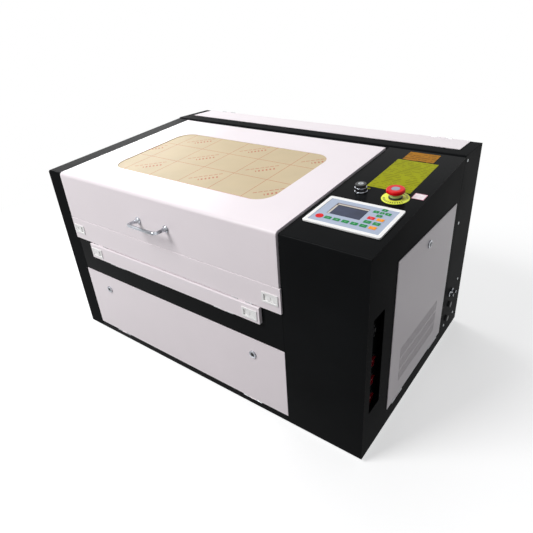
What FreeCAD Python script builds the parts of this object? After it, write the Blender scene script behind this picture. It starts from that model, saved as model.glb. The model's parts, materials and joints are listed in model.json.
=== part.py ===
"""Desktop laser cutter: a sheet-steel cabinet with a lift-up lid, two pass-through flaps, a service
door, a sloping control deck, and inside it the gantry, the lift table and the laser tube.

The frame: origin on the floor under the middle of the cabinet, +X to the right, +Y to the rear and
+Z up. Distances called "deep" are counted from the front face towards the rear, heights from the
lower edge of the cabinet, which stands on its feet."""
import FreeCAD, Part
import math
import os
import re
import Sketcher
from FreeCAD import Placement, Rotation, Vector

SIZES = {
    # cabinet
    "body_width": 1000, "body_depth": 638, "front_height": 510, "rear_height": 561,
    "deck_depth": 497, "deck_rise": 48, "steel": 1.5, "base_steel": 2.0, "foot_height": 10,
    "foot_radius": 20, "foot_inset": 60, "deck_bend": 5, "beam_bend": 8, "left_margin": 63,
    "bay_width": 200, "shelf_depth": 12, "liner_drop": 30, "seam_drop": 30, "running_gap": 0.3,
    "bolt_radius": 4, "bolt_head": 2.2,
    # lid
    "lid_gap": 2, "lid_proud": 5, "lid_flange": 18, "lid_bend": 9, "lid_rear_gap": 19,
    "lid_sill": 387, "window_right": 98, "window_behind": 121, "window_corner": 45, "window_left": 99,
    "window_front": 95, "pane_lap": 12, "pane_thick": 3, "handle_spread": 99, "handle_reach": 34,
    "handle_bar": 3.6, "handle_bend": 10, "handle_rise": 57, "handle_shift": 8.5,
    "rosette_radius": 9, "rosette_thick": 3, "neck_radius": 6, "neck_length": 10,
    # flaps and their latches
    "flap_proud": 5, "upper_flap_low": 322.5, "upper_flap_tall": 64, "flap_over": 0.8,
    "slot_lip": 12, "slot_end": 15, "lower_lip": 8, "lower_flap_proud": 9, "lower_flap_low": 276.5,
    "lower_flap_tall": 43, "lower_flap_left": 67, "lower_flap_right": 58, "flap_bend": 2.5,
    "latch_width": 43, "latch_tall": 26, "latch_proud": 2, "latch_inset": 6, "latch_rim": 5,
    "slider_sunk": 0.8, "thumb_slot": 6, "thumb_deep": 1, "thumb_rim": 3, "latch_travel": 9,
    "latch_rise_upper": 18, "latch_rise_lower": 7,
    # front access panel
    "access_low": 21, "access_tall": 197, "access_lip": 10, "access_flange": 10, "access_gap": 2.5,
    "lock_inset_left": 93, "lock_inset_right": 95, "lock_rise": 150,
    # cam locks
    "lock_head_radius": 10, "lock_head_thick": 3, "lock_barrel_radius": 9, "lock_barrel_long": 16,
    "lock_core_radius": 5.5, "bore_gap": 0.05, "cam_long": 46, "cam_width": 13, "cam_thick": 2,
    "key_slot_width": 1.6, "key_slot_tall": 7, "key_slot_deep": 2, "lock_sunk": 0.6,
    # side door
    "door_deep": 122, "door_behind": 25, "door_low": 48, "door_tall": 400, "door_lip": 10,
    "door_flange": 8, "vent_first": 55, "vent_last": 64, "vent_low": 46, "vent_tall": 31,
    "vent_rows": 3, "vent_pitch": 35, "vent_slots": 33, "vent_width": 2.4, "door_lock_drop": 35.5,
    "door_lock_shift": 3,
    # rear lid
    "rear_lid_left": 29, "rear_lid_right": 30, "rear_lid_behind": 48, "rear_lid_back": 3,
    "rear_lid_lip": 8, "rear_lid_drop": 10,
    # hinges
    "knuckle_radius": 1.2, "pin_radius": 0.7, "hinge_width": 60, "leaf_thick": 0.8,
    "hinge_inset": 110, "hinge_out": 1.5, "lid_knuckle": 3, "lid_pin": 1.6, "lid_hinge_out": 3.5,
    "lid_hinge_drop": 3,
    # connector recess on the right side
    "recess_deep": 24, "recess_run": 48, "recess_low": 121, "recess_tall": 245, "pocket": 20,
    "pocket_margin": 4, "pocket_below": 20, "pocket_rear": 30, "rocker_width": 20,
    "rocker_tall": 27, "rocker_proud": 5, "rocker_pitch": 52.5, "rocker_low": 123,
    "rocker_deep": 62, "rocker_rim": 2.5, "rocker_rest": 1, "rocker_taper": 1, "port_deep": 70,
    "port_rise": 307, "port_wide": 12, "port_tall": 14, "port_screw_pitch": 25, "port_proud": 2,
    "port_screw_radius": 3,
    # control panel on the deck
    "panel_inset": 13, "panel_deep": 63, "panel_width": 172, "panel_run": 116, "panel_proud": 4,
    "panel_corner": 5, "panel_border": 9, "panel_lip": 10, "membrane_drop": 1,
    "membrane_thick": 1.2, "display_left": 30, "display_run": 48.5, "display_width": 75,
    "display_deep": 45.5, "display_thick": 0.6, "key_long": 15, "key_run": 10.5, "key_proud": 0.5,
    "key_pitch": 19.6, "key_first": 24.5, "key_row": 16.6, "key_front": 28.5, "arrow_left": 133,
    "arrow_deep": 88.7, "arrow_pitch": 13, "arrow_long": 12, "arrow_run": 9.5, "enter_long": 9,
    "enter_run": 8, "key_round": 8.5,
    # emergency stop and key switch
    "stop_inset": 61, "stop_deep": 229, "stop_plate": 30, "plate_thick": 1.2, "mount_hole": 11.2,
    "stop_ring": 15, "stop_ring_tall": 3, "stop_collar": 12.5, "stop_collar_tall": 6,
    "stop_head": 20, "stop_head_tall": 8, "stop_stem": 5, "stop_travel": 4, "stop_bend": 3,
    "stop_cap": 9, "stop_cap_deep": 0.8, "stop_body": 30, "key_inset": 58, "key_bezel": 14.5,
    "key_bezel_thick": 3, "key_barrel": 13.6, "key_barrel_tall": 9, "key_head": 12,
    "key_head_tall": 7, "key_core": 6, "key_stem": 8, "key_body": 34,
    # work chamber
    "rail_inset": 32, "rail_width": 20, "rail_tall": 20, "rail_low": 400, "rail_front": 26,
    "rail_end": 9, "post_width": 16, "beam_tall": 34, "beam_run": 26, "beam_lift": 9,
    "beam_behind": 80, "head_home": 117, "end_half": 17, "end_reach": 17, "pulley_radius": 7,
    "belt_thick": 1.2, "belt_tall": 6, "motor_size": 35, "track_tall": 9, "track_thick": 5,
    "carriage_width": 56, "carriage_tall": 40, "carriage_thick": 8, "tube_radius": 13,
    "mirror_block": 34, "nozzle_long": 22, "nozzle_tip": 3, "nozzle_gap": 12, "table_side": 98.5,
    "table_behind": 77, "table_deep": 78, "table_top": 333, "table_tall": 18, "table_wall": 12,
    "slat_count": 13, "slat_thick": 2, "screw_radius": 5, "nut_radius": 11, "nut_tall": 14,
    "screw_out": 18, "screw_forward": 3, "screw_above": 12, "screw_foot": 9, "screw_foot_tall": 8,
    # laser bay
    "laser_radius": 25, "laser_ends": 180, "laser_shift": 45, "laser_back": 0.5, "laser_rise": 455,
    "clamp_width": 20, "clamp_wall": 8, "clamp_ends": 260, "mirror_size": 30, "mirror_radius": 9,
    "beam_hole": 12,
    # electronics in the control bay
    "supply_width": 150, "supply_run": 250, "supply_tall": 95, "supply_deep": 170, "supply_gap": 18,
    "board_width": 26, "board_run": 190, "board_tall": 130, "board_deep": 180, "board_rise": 220,
    # rear fittings
    "spigot_radius": 75, "spigot_long": 38, "spigot_flange": 12, "spigot_x": 70, "spigot_rise": 230,
    "barb_radius": 4, "barb_bore": 2.5, "barb_long": 10, "barb_behind": 31, "barb_pitch": 22,
    "barb_rise": 150, "socket_behind": 49, "socket_rise": 104, "socket_radius": 9, "socket_thick": 5,
    "socket_step": 12, "socket_fall": 43, "screw_behind": 18, "screw_before": 43, "screw_under": 15,
    "screw_middle": 378, "screw_third": 167, "screw_low": 46, "barb_collar": 8,
    "barb_collar_thick": 3,
}

# sizes that follow from the ones above
TIED = {
    "bulkhead_deep": "(deck_depth - shelf_depth)",
    "rear_lid_deep": "(deck_depth + rear_lid_behind)",
    "rear_lid_run": "(body_depth - rear_lid_back - rear_lid_deep)",
    "laser_deep": "((deck_depth + body_depth) / 2 + laser_back)",
    "laser_long": "(body_width - laser_ends)",
    "clamp_spread": "(laser_long - clamp_ends)",
    "screw_front": "(deck_depth + screw_behind)",
    "screw_rear": "(body_depth - screw_before)",
    "screw_top": "(rear_height - screw_under)",
    "barb_deep": "(deck_depth + barb_behind)",
    "socket_deep": "(deck_depth + socket_behind)",
    "door_run": "(deck_depth - door_behind - door_deep)",
    "vent_run": "(door_run - vent_first - vent_last)",
    "door_lock_in": "(door_run / 2 - door_lock_shift)",
    "opening_width": "(body_width - left_margin - bay_width)",
    "window_width": "(opening_width - 2 * lid_gap - window_left - window_right)",
    "window_run": "(deck_depth - window_behind - window_front + lid_proud)",
    "rail_run": "(bulkhead_deep - rail_front - rail_end)",
    "beam_home": "(bulkhead_deep - beam_behind)",
    "table_width": "(opening_width - 2 * table_side)",
    "table_run": "(bulkhead_deep - table_deep - table_behind)",
    "screw_deep": "(table_deep + table_run / 2 - screw_forward)",
    "panel_left": "(body_width / 2 - bay_width + panel_inset)",
    "key_x": "(body_width / 2 - bay_width + key_inset)",
    "stop_x": "(body_width / 2 - stop_inset)",
}

DOC = FreeCAD.newDocument("laser_cutter")
SHEET = DOC.addObject("Spreadsheet::Sheet", "Sizes")
NODES = []
ALIASES = re.compile(r"\b(" + "|".join(SIZES) + r")\b")
TIED_NAMES = re.compile(r"\b(" + "|".join(TIED) + r")\b")

LEFT = "(-body_width / 2)"
RIGHT = "(body_width / 2)"
FRONT = "(-body_depth / 2)"
REAR = "(body_depth / 2)"
BASE = "foot_height"
SLOPE = "atan(deck_rise / deck_depth)"
OPENING_LEFT = f"({LEFT} + left_margin)"
BAY_LEFT = f"({RIGHT} - bay_width)"
LID_LEFT = f"({OPENING_LEFT} + lid_gap)"
LID_RIGHT = f"({BAY_LEFT} - lid_gap)"


def fill_sheet():
    """Write every driving size to the sheet, its name beside it as the alias."""
    for row, (alias, size) in enumerate(SIZES.items(), start=1):
        SHEET.set(f"A{row}", alias)
        SHEET.set(f"B{row}", str(size))
        SHEET.setAlias(f"B{row}", alias)
    DOC.recompute()


def size(alias):
    """The number that the sheet holds for one size."""
    return float(SHEET.get(alias))


def expressed(text):
    """An expression with the tied sizes spelled out and the others read from the sheet."""
    text = str(text)
    while TIED_NAMES.search(text):
        text = TIED_NAMES.sub(lambda found: TIED[found[1]], text)
    return ALIASES.sub(r"Sizes.\1", text)


def bind(thing, **expressions):
    """Bind properties to expressions of the sheet; at_x stands for Placement.Base.x and so on."""
    for key, text in expressions.items():
        path = "Placement.Base." + key[-1] if key.startswith("at_") else key
        thing.setExpression(path, expressed(text))
    return thing


def deep(distance):
    """Y of a place so far behind the front face."""
    return f"({FRONT} + {distance})"


def up(height):
    """Z of a place so far above the cabinet's lower edge."""
    return f"({BASE} + {height})"


def deck(distance):
    """Z of the deck's upper face so far behind the front face."""
    return f"({BASE} + front_height + ({distance}) * deck_rise / deck_depth)"


def block(x, y, z):
    """A box between pairs of expressions."""
    solid = DOC.addObject("Part::Box", "block")
    return bind(
        solid, Length=f"({x[1]}) - ({x[0]})", Width=f"({y[1]}) - ({y[0]})", Height=f"({z[1]}) - ({z[0]})",
        at_x=x[0], at_y=y[0], at_z=z[0])


def about(middle, half):
    """The range that reaches as far to both sides of a middle."""
    return (f"{middle} - {half}", f"{middle} + {half}")


TURNS = {"x": Rotation(Vector(0, 1, 0), 90), "y": Rotation(Vector(1, 0, 0), -90), "z": Rotation()}


def rod(radius, length, at, axis="z"):
    """A cylinder that starts at a place and runs along +X, +Y or +Z."""
    solid = DOC.addObject("Part::Cylinder", "rod")
    solid.Placement = Placement(Vector(), TURNS[axis])
    return bind(solid, Radius=radius, Height=length, at_x=at[0], at_y=at[1], at_z=at[2])


def cone(radius_low, radius_high, length, at, axis="z"):
    """A cone that starts at a place and runs along +X, +Y or +Z."""
    solid = DOC.addObject("Part::Cone", "cone")
    solid.Placement = Placement(Vector(), TURNS[axis])
    return bind(
        solid, Radius1=radius_low, Radius2=radius_high, Height=length, at_x=at[0], at_y=at[1], at_z=at[2])


def fuse(*pieces):
    """One solid from pieces that touch or overlap."""
    joined = DOC.addObject("Part::MultiFuse", "joined")
    joined.Shapes = list(pieces)
    joined.Refine = True
    return joined


def cut(base, *tools):
    """A piece with the tools' volumes taken away."""
    rest = DOC.addObject("Part::Cut", "rest")
    rest.Base = base
    rest.Tool = tools[0] if len(tools) == 1 else fuse(*tools)
    return rest


def group(*pieces):
    """Separate solids that share one node."""
    together = DOC.addObject("Part::Compound", "group")
    together.Links = list(pieces)
    return together


def node(name, piece):
    """Name a finished sub-part."""
    piece.Label = name
    NODES.append(piece)
    return piece


def rounded(solid, edges, radius):
    """A primitive with some of its edges rounded."""
    fillet = DOC.addObject("Part::Fillet", "rounded")
    fillet.Base = solid
    fillet.Edges = [(edge, radius, radius) for edge in edges]
    return fillet


UPRIGHT_EDGES = (1, 3, 5, 7)
FRONT_TOP_EDGE = (10,)
ROD_TOP_EDGE = (3,)


def tilt(solid, x, distance, lift):
    """Set a primitive's corner or axis foot on the sloping deck, lifted square to it."""
    solid.Placement = Placement(Vector(), Rotation(Vector(1, 0, 0), 1))
    solid.setExpression("Placement.Rotation.Angle", expressed(SLOPE))
    return bind(
        solid, at_x=x, at_y=f"{deep(distance)} - ({lift}) * sin({SLOPE})",
        at_z=f"{deck(distance)} + ({lift}) * cos({SLOPE})")


def deck_block(x, distance, lift):
    """A box that lies on the deck: X range, depth range and range of lift as pairs."""
    solid = DOC.addObject("Part::Box", "deck_block")
    bind(
        solid, Length=f"({x[1]}) - ({x[0]})", Width=f"(({distance[1]}) - ({distance[0]})) / cos({SLOPE})",
        Height=f"({lift[1]}) - ({lift[0]})")
    return tilt(solid, x[0], distance[0], lift[0])


def deck_rod(radius, x, distance, lift):
    """A cylinder that stands square to the deck over a range of lift."""
    solid = DOC.addObject("Part::Cylinder", "deck_rod")
    bind(solid, Radius=radius, Height=f"({lift[1]}) - ({lift[0]})")
    return tilt(solid, x, distance, lift[0])


def origin_plane(body, role):
    """One of a body's own origin planes."""
    return next(item for item in body.Origin.OriginFeatures if item.Role == role)


def outline(body, points, plane):
    """A closed outline on one of the body's upright planes, each corner held by the sheet."""
    sketch = body.newObject("Sketcher::SketchObject", "outline")
    sketch.AttachmentSupport = (origin_plane(body, plane), [""])
    sketch.MapMode = "FlatFace"
    count = len(points)
    ring = [Vector(math.cos(math.tau * i / count), math.sin(math.tau * i / count), 0) for i in range(count)]
    for i in range(count):
        sketch.addGeometry(Part.LineSegment(ring[i], ring[(i + 1) % count]))
    for i in range(count):
        sketch.addConstraint(Sketcher.Constraint("Coincident", i, 2, (i + 1) % count, 1))
    for i, (across, height) in enumerate(points):
        for kind, text in (("DistanceX", across), ("DistanceY", height)):
            index = sketch.addConstraint(Sketcher.Constraint(kind, -1, 1, i, 1, 1.0))
            bind(sketch, **{f"Constraints[{index}]": text})
    return sketch


def folded(span, points, bends=(), along="x"):
    """A profile drawn out along X from the YZ plane, or along Y from the XZ plane; bends pairs a
    corner's number with its radius."""
    body = DOC.addObject("PartDesign::Body", "folded")
    sketch = outline(body, points, "YZ_Plane" if along == "x" else "XZ_Plane")
    pad = body.newObject("PartDesign::Pad", "drawn")
    pad.Profile = sketch
    pad.Reversed = along == "y"
    bind(pad, Length=f"({span[1]}) - ({span[0]})")
    bind(body, **{"at_" + along: span[0]})
    if bends:
        DOC.recompute()
    feature = pad
    for corner, radius in bends:
        spot = sketch.Geometry[corner].StartPoint
        edges = [
            f"Edge{number}" for number, edge in enumerate(feature.Shape.Edges, start=1)
            if all(math.hypot(v.Y - spot.x, v.Z - spot.y) < 1e-4 for v in edge.Vertexes)
        ]
        fillet = body.newObject("PartDesign::Fillet", "bend")
        fillet.Base = (feature, edges)
        bind(fillet, Radius=radius)
        DOC.recompute()
        feature = fillet
    return body


MIDDLE_THIRD = ("-hinge_width / 6", "hinge_width / 6")
OUTER_THIRDS = (
    ("-hinge_width / 2", "-hinge_width / 6 - running_gap"),
    ("hinge_width / 6 + running_gap", "hinge_width / 2"))


def hinge(middle, axis, fixed_leaf, moving_leaf, along="x", radius="knuckle_radius", pin="pin_radius"):
    """A three-knuckle hinge along X or Y. Axis is the barrel's place across and up, each leaf the
    plate's range across and up. Returns the fixed solid, the moving knuckle and the pin's bore."""

    def barrel(barrel_radius, low, high):
        start = f"({middle}) + ({low})"
        place = (start, *axis) if along == "x" else (axis[0], start, axis[1])
        return rod(barrel_radius, f"({high}) - ({low})", place, along)

    def plate(leaf, low, high):
        span = (f"({middle}) + ({low})", f"({middle}) + ({high})")
        return block(span, *leaf) if along == "x" else block(leaf[0], span, leaf[1])

    fixed = [barrel(pin, "-hinge_width / 2", "hinge_width / 2")]
    for low, high in OUTER_THIRDS:
        fixed += [barrel(radius, low, high), plate(fixed_leaf, low, high)]
    moving = fuse(barrel(radius, *MIDDLE_THIRD), plate(moving_leaf, *MIDDLE_THIRD))
    bore = barrel(f"{pin} + bore_gap", "-hinge_width / 4", "hinge_width / 4")
    return fuse(*fixed), moving, bore


FIXED_HINGES = []


def hung(sheet, places, axis, fixed_leaf, moving_leaf, **kind):
    """A sheet with hinges along one edge: its own knuckles joined to it, the rest set aside for the
    node of fixed hinges."""
    knuckles, bores = [], []
    for middle in places:
        fixed, moving, bore = hinge(middle, axis, fixed_leaf, moving_leaf, **kind)
        FIXED_HINGES.append(fixed)
        knuckles.append(moving)
        bores.append(bore)
    return cut(fuse(sheet, *knuckles), *bores)


def thick(middle):
    """The thickness range of a hinge leaf about a height or depth."""
    return about(middle, "leaf_thick / 2")


def make_base():
    """Feet and base plate."""
    feet = [
        rod("foot_radius", BASE, (
            f"{side} * (body_width / 2 - foot_inset)", f"{end} * (body_depth / 2 - foot_inset)", "0"))
        for side in (-1, 1) for end in (-1, 1)
    ]
    node("foot_pads", group(*feet))
    node("base_plate", block(
        (f"{LEFT} + steel", f"{RIGHT} - steel"), (f"{FRONT} + steel", f"{REAR} - steel"),
        (BASE, up("base_steel"))))


def upright_sheet(x, low, rear):
    """An upright sheet under the slope from the front skirt back, clear of the deck's bend."""
    front = f"{FRONT} + steel"
    return folded(x, [
        (front, low), (deep(rear), low), (deep(rear), f"{deck(rear)} - steel"),
        (f"{front} + deck_bend", f"{deck('steel + deck_bend')} - steel"),
        (front, f"{deck('0')} - steel - deck_bend")])


def deck_sheet(x):
    """One sheet up the front and back over the deck to the rear cover, with a rounded bend."""
    inner = f"{FRONT} + steel"
    rear = deep("deck_depth")
    points = [
        (FRONT, BASE), (FRONT, deck("0")), (rear, deck("deck_depth")),
        (rear, f"{deck('deck_depth')} - steel"), (inner, f"{deck('steel')} - steel"), (inner, BASE)]
    return folded(x, points, [(1, "deck_bend"), (4, "deck_bend - steel")])


def make_sides():
    """Left panel with its folded top margin and inner lip, and right panel with its openings."""
    margin = deck_sheet((LEFT, OPENING_LEFT))
    side = upright_sheet((LEFT, f"{LEFT} + steel"), BASE, "deck_depth")
    front, rear = f"{FRONT} + steel + deck_bend", deep("deck_depth")
    lip = folded((f"{OPENING_LEFT} - steel", OPENING_LEFT), [
        (front, f"{deck('steel + deck_bend')} - liner_drop"), (rear, f"{deck('deck_depth')} - liner_drop"),
        (rear, f"{deck('deck_depth')} - steel"), (front, f"{deck('steel + deck_bend')} - steel")])
    node("left_panel", fuse(margin, side, lip))

    wall = (f"{RIGHT} - 2 * steel", f"{RIGHT} + steel")
    door = block(
        wall, (deep("door_deep + door_lip"), deep("door_deep + door_run - door_lip")),
        (up("door_low + door_lip"), up("door_low + door_tall - door_lip")))
    recess = block(
        wall, (deep("recess_deep"), deep("recess_deep + recess_run")),
        (up("recess_low"), up("recess_low + recess_tall")))
    sheet = upright_sheet((f"{RIGHT} - steel", RIGHT), BASE, "deck_depth")
    node("right_panel", cut(sheet, door, recess))


UPPER_X = (f"({LID_LEFT} - flap_over)", f"({BAY_LEFT} + flap_over)")
LOWER_X = (f"({OPENING_LEFT} + lower_flap_left)", f"({BAY_LEFT} - lower_flap_right)")
ACCESS_X = (LID_LEFT, f"({BAY_LEFT} + flap_over)")
FRONT_SHEET = (FRONT, f"{FRONT} + steel")


def make_front_frame():
    """The sheet round the two feed slots and the service opening; the lid shuts on its top edge."""
    frame = block(
        (OPENING_LEFT, BAY_LEFT), FRONT_SHEET, (BASE, up("lid_sill - running_gap")))
    through = (f"{FRONT} - steel", f"{FRONT} + 2 * steel")
    upper = block(
        (f"{UPPER_X[0]} + slot_end", f"{UPPER_X[1]} - slot_end"), through,
        (up("upper_flap_low + slot_lip"), up("upper_flap_low + upper_flap_tall - slot_lip")))
    lower = block(
        (f"{LOWER_X[0]} + slot_end", f"{LOWER_X[1]} - slot_end"), through,
        (up("lower_flap_low + lower_lip"), up("lower_flap_low + lower_flap_tall - lower_lip")))
    service = block(
        (f"{ACCESS_X[0]} + access_lip", f"{ACCESS_X[1]} - access_lip"), through,
        (up("access_low + access_lip"), up("access_low + access_tall - access_lip")))
    node("front_frame", cut(frame, upper, lower, service))


def make_rear():
    """Rear cover with the raised beam and its opening, rear panel, exhaust spigot."""
    seam = deep("deck_depth")
    top = up("rear_height")
    outer = rounded(
        block((LEFT, RIGHT), (seam, REAR), (BASE, top)), FRONT_TOP_EDGE, size("beam_bend"))
    room = rounded(
        block((f"{LEFT} + steel", f"{RIGHT} - steel"), (f"{seam} + steel", f"{REAR} + steel"),
              (f"{BASE} - steel", f"{top} - steel")),
        FRONT_TOP_EDGE, size("beam_bend") - size("steel"))
    under_beam = block(
        (f"{LEFT} + steel", f"{RIGHT} - steel"), (f"{seam} - steel", f"{seam} + 2 * steel"),
        (f"{BASE} - steel", f"{deck('deck_depth')} - seam_drop"))
    lid_hole = block(
        (f"{REAR_LID_X[0]} + rear_lid_lip", f"{REAR_LID_X[1]} - rear_lid_lip"),
        (deep("rear_lid_deep + rear_lid_lip"), deep("rear_lid_deep + rear_lid_run - rear_lid_lip")),
        (f"{top} - 2 * steel", f"{top} + steel"))
    node("rear_cover", cut(outer, room, under_beam, lid_hole))

    sheet = block(
        (f"{LEFT} + steel", f"{RIGHT} - steel"), (f"{REAR} - steel", REAR), (BASE, f"{top} - steel"))
    duct = ("spigot_x", up("spigot_rise"))
    hole = rod("spigot_radius", "3 * steel", (duct[0], f"{REAR} - 2 * steel", duct[1]), "y")
    node("rear_panel", cut(sheet, hole))
    tube = rod("spigot_radius", "spigot_long + steel", (duct[0], f"{REAR} - steel", duct[1]), "y")
    flange = rod("spigot_radius + spigot_flange", "steel", (duct[0], REAR, duct[1]), "y")
    bore = rod(
        "spigot_radius - steel", "spigot_long + 3 * steel", (duct[0], f"{REAR} - 2 * steel", duct[1]), "y")
    node("exhaust_spigot", cut(fuse(tube, flange), bore))


REAR_LID_X = (f"({LEFT} + rear_lid_left)", f"({RIGHT} - rear_lid_right)")


def make_rear_lid():
    """White lid over the laser bay: a sheet with a lip that drops into the opening, hinged behind."""
    top = up("rear_height")
    front, rear = deep("rear_lid_deep"), deep("rear_lid_deep + rear_lid_run")
    sheet = block(REAR_LID_X, (front, rear), (f"{top} + running_gap", f"{top} + running_gap + steel"))
    inset = "(rear_lid_lip + lid_gap)"

    def ring(shrink, low, high):
        return block(
            (f"{REAR_LID_X[0]} + {inset} + {shrink}", f"{REAR_LID_X[1]} - {inset} - {shrink}"),
            (f"{front} + {inset} + {shrink}", f"{rear} - {inset} - {shrink}"), (low, high))

    lip = cut(
        ring("0", f"{top} - rear_lid_drop", f"{top} + running_gap"),
        ring("steel", f"{top} - rear_lid_drop - steel", f"{top} + running_gap"))
    height = f"({top} + running_gap + knuckle_radius)"
    across = f"({rear} + knuckle_radius + running_gap)"
    places = [f"{side} * (body_width / 2 - hinge_inset)" for side in (-1, 1)]
    lid = hung(
        fuse(sheet, lip), places, (across, height),
        (thick(across), (top, height)), ((f"{rear} - steel", across), thick(height)))
    node("rear_lid", lid)


def make_deck():
    """Control deck: one sheet with the cut-outs for the panel, the stop button and the key switch."""
    panel = deck_block(
        ("panel_left + panel_lip", "panel_left + panel_width - panel_lip"),
        ("panel_deep + panel_lip", "panel_deep + panel_run - panel_lip"), ("-2 * steel", "steel"))
    holes = [
        deck_rod("mount_hole", across, "stop_deep", ("-2 * steel", "steel")) for across in ("stop_x", "key_x")
    ]
    node("control_deck", cut(deck_sheet((BAY_LEFT, RIGHT)), panel, *holes))


def make_inner_walls():
    """Wall between chamber and control bay, and the rear bulkhead whose top carries the lid's hinges."""
    node("bay_divider", upright_sheet((BAY_LEFT, f"{BAY_LEFT} + steel"), up("base_steel"), "bulkhead_deep"))
    depth = (deep("bulkhead_deep"), deep("bulkhead_deep + steel"))
    wall = block(
        (f"{LEFT} + steel", f"{RIGHT} - steel"), depth,
        (up("base_steel"), f"{deck('bulkhead_deep')} - liner_drop"))
    rail = block(
        (OPENING_LEFT, BAY_LEFT), depth,
        (f"{deck('bulkhead_deep')} - liner_drop", f"{deck('bulkhead_deep')} - steel / 2"))
    shelf = folded((OPENING_LEFT, BAY_LEFT), [
        (deep("bulkhead_deep"), f"{deck('bulkhead_deep')} - steel"),
        (deep("deck_depth"), f"{deck('deck_depth')} - steel"),
        (deep("deck_depth"), deck("deck_depth")), (deep("bulkhead_deep"), deck("bulkhead_deep"))])
    eye = rod(
        "beam_hole", "3 * steel", (RAIL_X[0], deep("bulkhead_deep - steel"), up("laser_rise")), "y")
    draught = rod(
        "spigot_radius", "3 * steel", ("spigot_x", deep("bulkhead_deep - steel"), up("spigot_rise")), "y")
    node("rear_bulkhead", cut(fuse(wall, rail, shelf), eye, draught))


def make_lid():
    """Lid: an L-shaped pan over top and front, its window pane and its bow handle."""
    front, rear = deep("-lid_proud"), deep("deck_depth - lid_rear_gap")
    behind = f"({front} + lid_flange)"
    sill = up("lid_sill")
    over, wall = f"lid_proud / cos({SLOPE})", f"steel / cos({SLOPE})"
    top_front = f"({deck('-lid_proud')} + {over})"
    top_rear = f"({deck('deck_depth - lid_rear_gap')} + {over})"
    top_behind = f"({deck('lid_flange - lid_proud')} + {over})"
    shell = folded((LID_LEFT, LID_RIGHT), [
        (front, sill), (front, top_front), (rear, top_rear), (rear, f"{top_rear} - lid_flange"),
        (behind, f"{top_behind} - lid_flange"), (behind, sill)], [(1, "lid_bend")])
    past = "3 * steel"
    room = folded((f"{LID_LEFT} + steel", f"{LID_RIGHT} - steel"), [
        (f"{front} + steel", f"{sill} + steel"),
        (f"{front} + steel", f"{deck('steel - lid_proud')} + {over} - {wall}"),
        (f"{rear} - steel", f"{deck('deck_depth - lid_rear_gap - steel')} + {over} - {wall}"),
        (f"{rear} - steel", f"{top_rear} - lid_flange - {past}"),
        (f"{behind} + {past}", f"{top_behind} - lid_flange - {past}"),
        (f"{behind} + {past}", f"{sill} + steel")], [(1, "lid_bend - steel")])
    window_x = (f"{LID_LEFT} + window_left", f"{LID_LEFT} + window_left + window_width")
    window_y = ("window_front - lid_proud", "window_front - lid_proud + window_run")
    window = rounded(
        deck_block(window_x, window_y, ("lid_proud - 3 * steel", "lid_proud + steel")), UPRIGHT_EDGES,
        size("window_corner"))
    axis = (f"({rear} + lid_hinge_out)", f"({deck('deck_depth - lid_rear_gap')} - lid_hinge_drop)")
    places = [f"{LID_LEFT} + hinge_inset", f"{LID_RIGHT} - hinge_inset"]
    shut = cut(shell, room, window)
    node("lid_shell", hung(
        shut, places, axis, ((axis[0], deep("bulkhead_deep")), thick(axis[1])),
        ((f"{rear} - steel", axis[0]), thick(axis[1])), radius="lid_knuckle", pin="lid_pin"))
    node("lid_window", deck_block(
        (f"{window_x[0]} - pane_lap", f"{window_x[1]} + pane_lap"),
        (f"{window_y[0]} - pane_lap", f"{window_y[1]} + pane_lap"),
        ("lid_proud - steel - pane_thick", "lid_proud - steel")))
    make_handle(front)


def make_handle(face):
    """Chrome bow handle: two rosettes with necks, and a bar with rounded corners."""
    middle = f"(({LID_LEFT} + {LID_RIGHT}) / 2 - handle_shift)"
    height = up("lid_sill + handle_rise")
    reach = f"({face} - handle_reach)"
    pieces = []
    for side in (-1, 1):
        x = f"({middle} + {side} * handle_spread / 2)"
        bend_start = f"{reach} + handle_bend"
        corner = DOC.addObject("Part::Torus", "corner")
        corner.Placement = Placement(Vector(), Rotation(Vector(0, 0, 1), 180 if side < 0 else 270))
        bind(
            corner, Radius1="handle_bend", Radius2="handle_bar", Angle3="90",
            at_x=f"{x} - {side} * handle_bend", at_y=bend_start, at_z=height)
        pieces += [
            rod("rosette_radius", "rosette_thick", (x, f"{face} - rosette_thick", height), "y"),
            rod("neck_radius", "neck_length", (x, f"{face} - neck_length", height), "y"),
            rod("handle_bar", "handle_reach - handle_bend", (x, bend_start, height), "y"),
            corner,
        ]
    pieces.append(rod(
        "handle_bar", "handle_spread - 2 * handle_bend",
        (f"{middle} - handle_spread / 2 + handle_bend", reach, height), "x"))
    node("lid_handle", fuse(*pieces))


def make_flap(name, x, proud, latch_rise):
    """A folded flap on the front, hinged on its lower edge, with a slide latch at each end."""
    low = name + "_low"
    face = f"({FRONT} - {proud})"
    bottom, top = up(low), up(f"{low} + {name}_tall")
    pan = rounded(block(x, (face, FRONT), (bottom, top)), FRONT_TOP_EDGE, size("flap_bend"))
    room = block(
        (f"{x[0]} + steel", f"{x[1]} - steel"), (f"{face} + steel", f"{FRONT} + steel"),
        (f"{bottom} + steel", f"{top} - steel"))
    latch_low = up(f"{low} + {latch_rise}")
    frames, wells = [], []
    for side, end in ((-1, x[0]), (1, x[1])):
        start = f"({end} + latch_inset)" if side < 0 else f"({end} - latch_inset - latch_width)"
        frame, well = make_latch(face, start, latch_low)
        frames.append(frame)
        wells.append(well)
        make_slider(name, side, face, start, latch_low)
    axis = (f"({face} + hinge_out)", f"({bottom} - hinge_out)")
    places = [f"{x[0]} + hinge_inset", f"{x[1]} - hinge_inset"]
    node(name, hung(
        cut(pan, room, *wells), places, axis, ((axis[0], FRONT), thick(axis[1])),
        (thick(axis[0]), (axis[1], f"{bottom} + steel"))))
    node(name + "_latch_frames", group(*frames))


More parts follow.
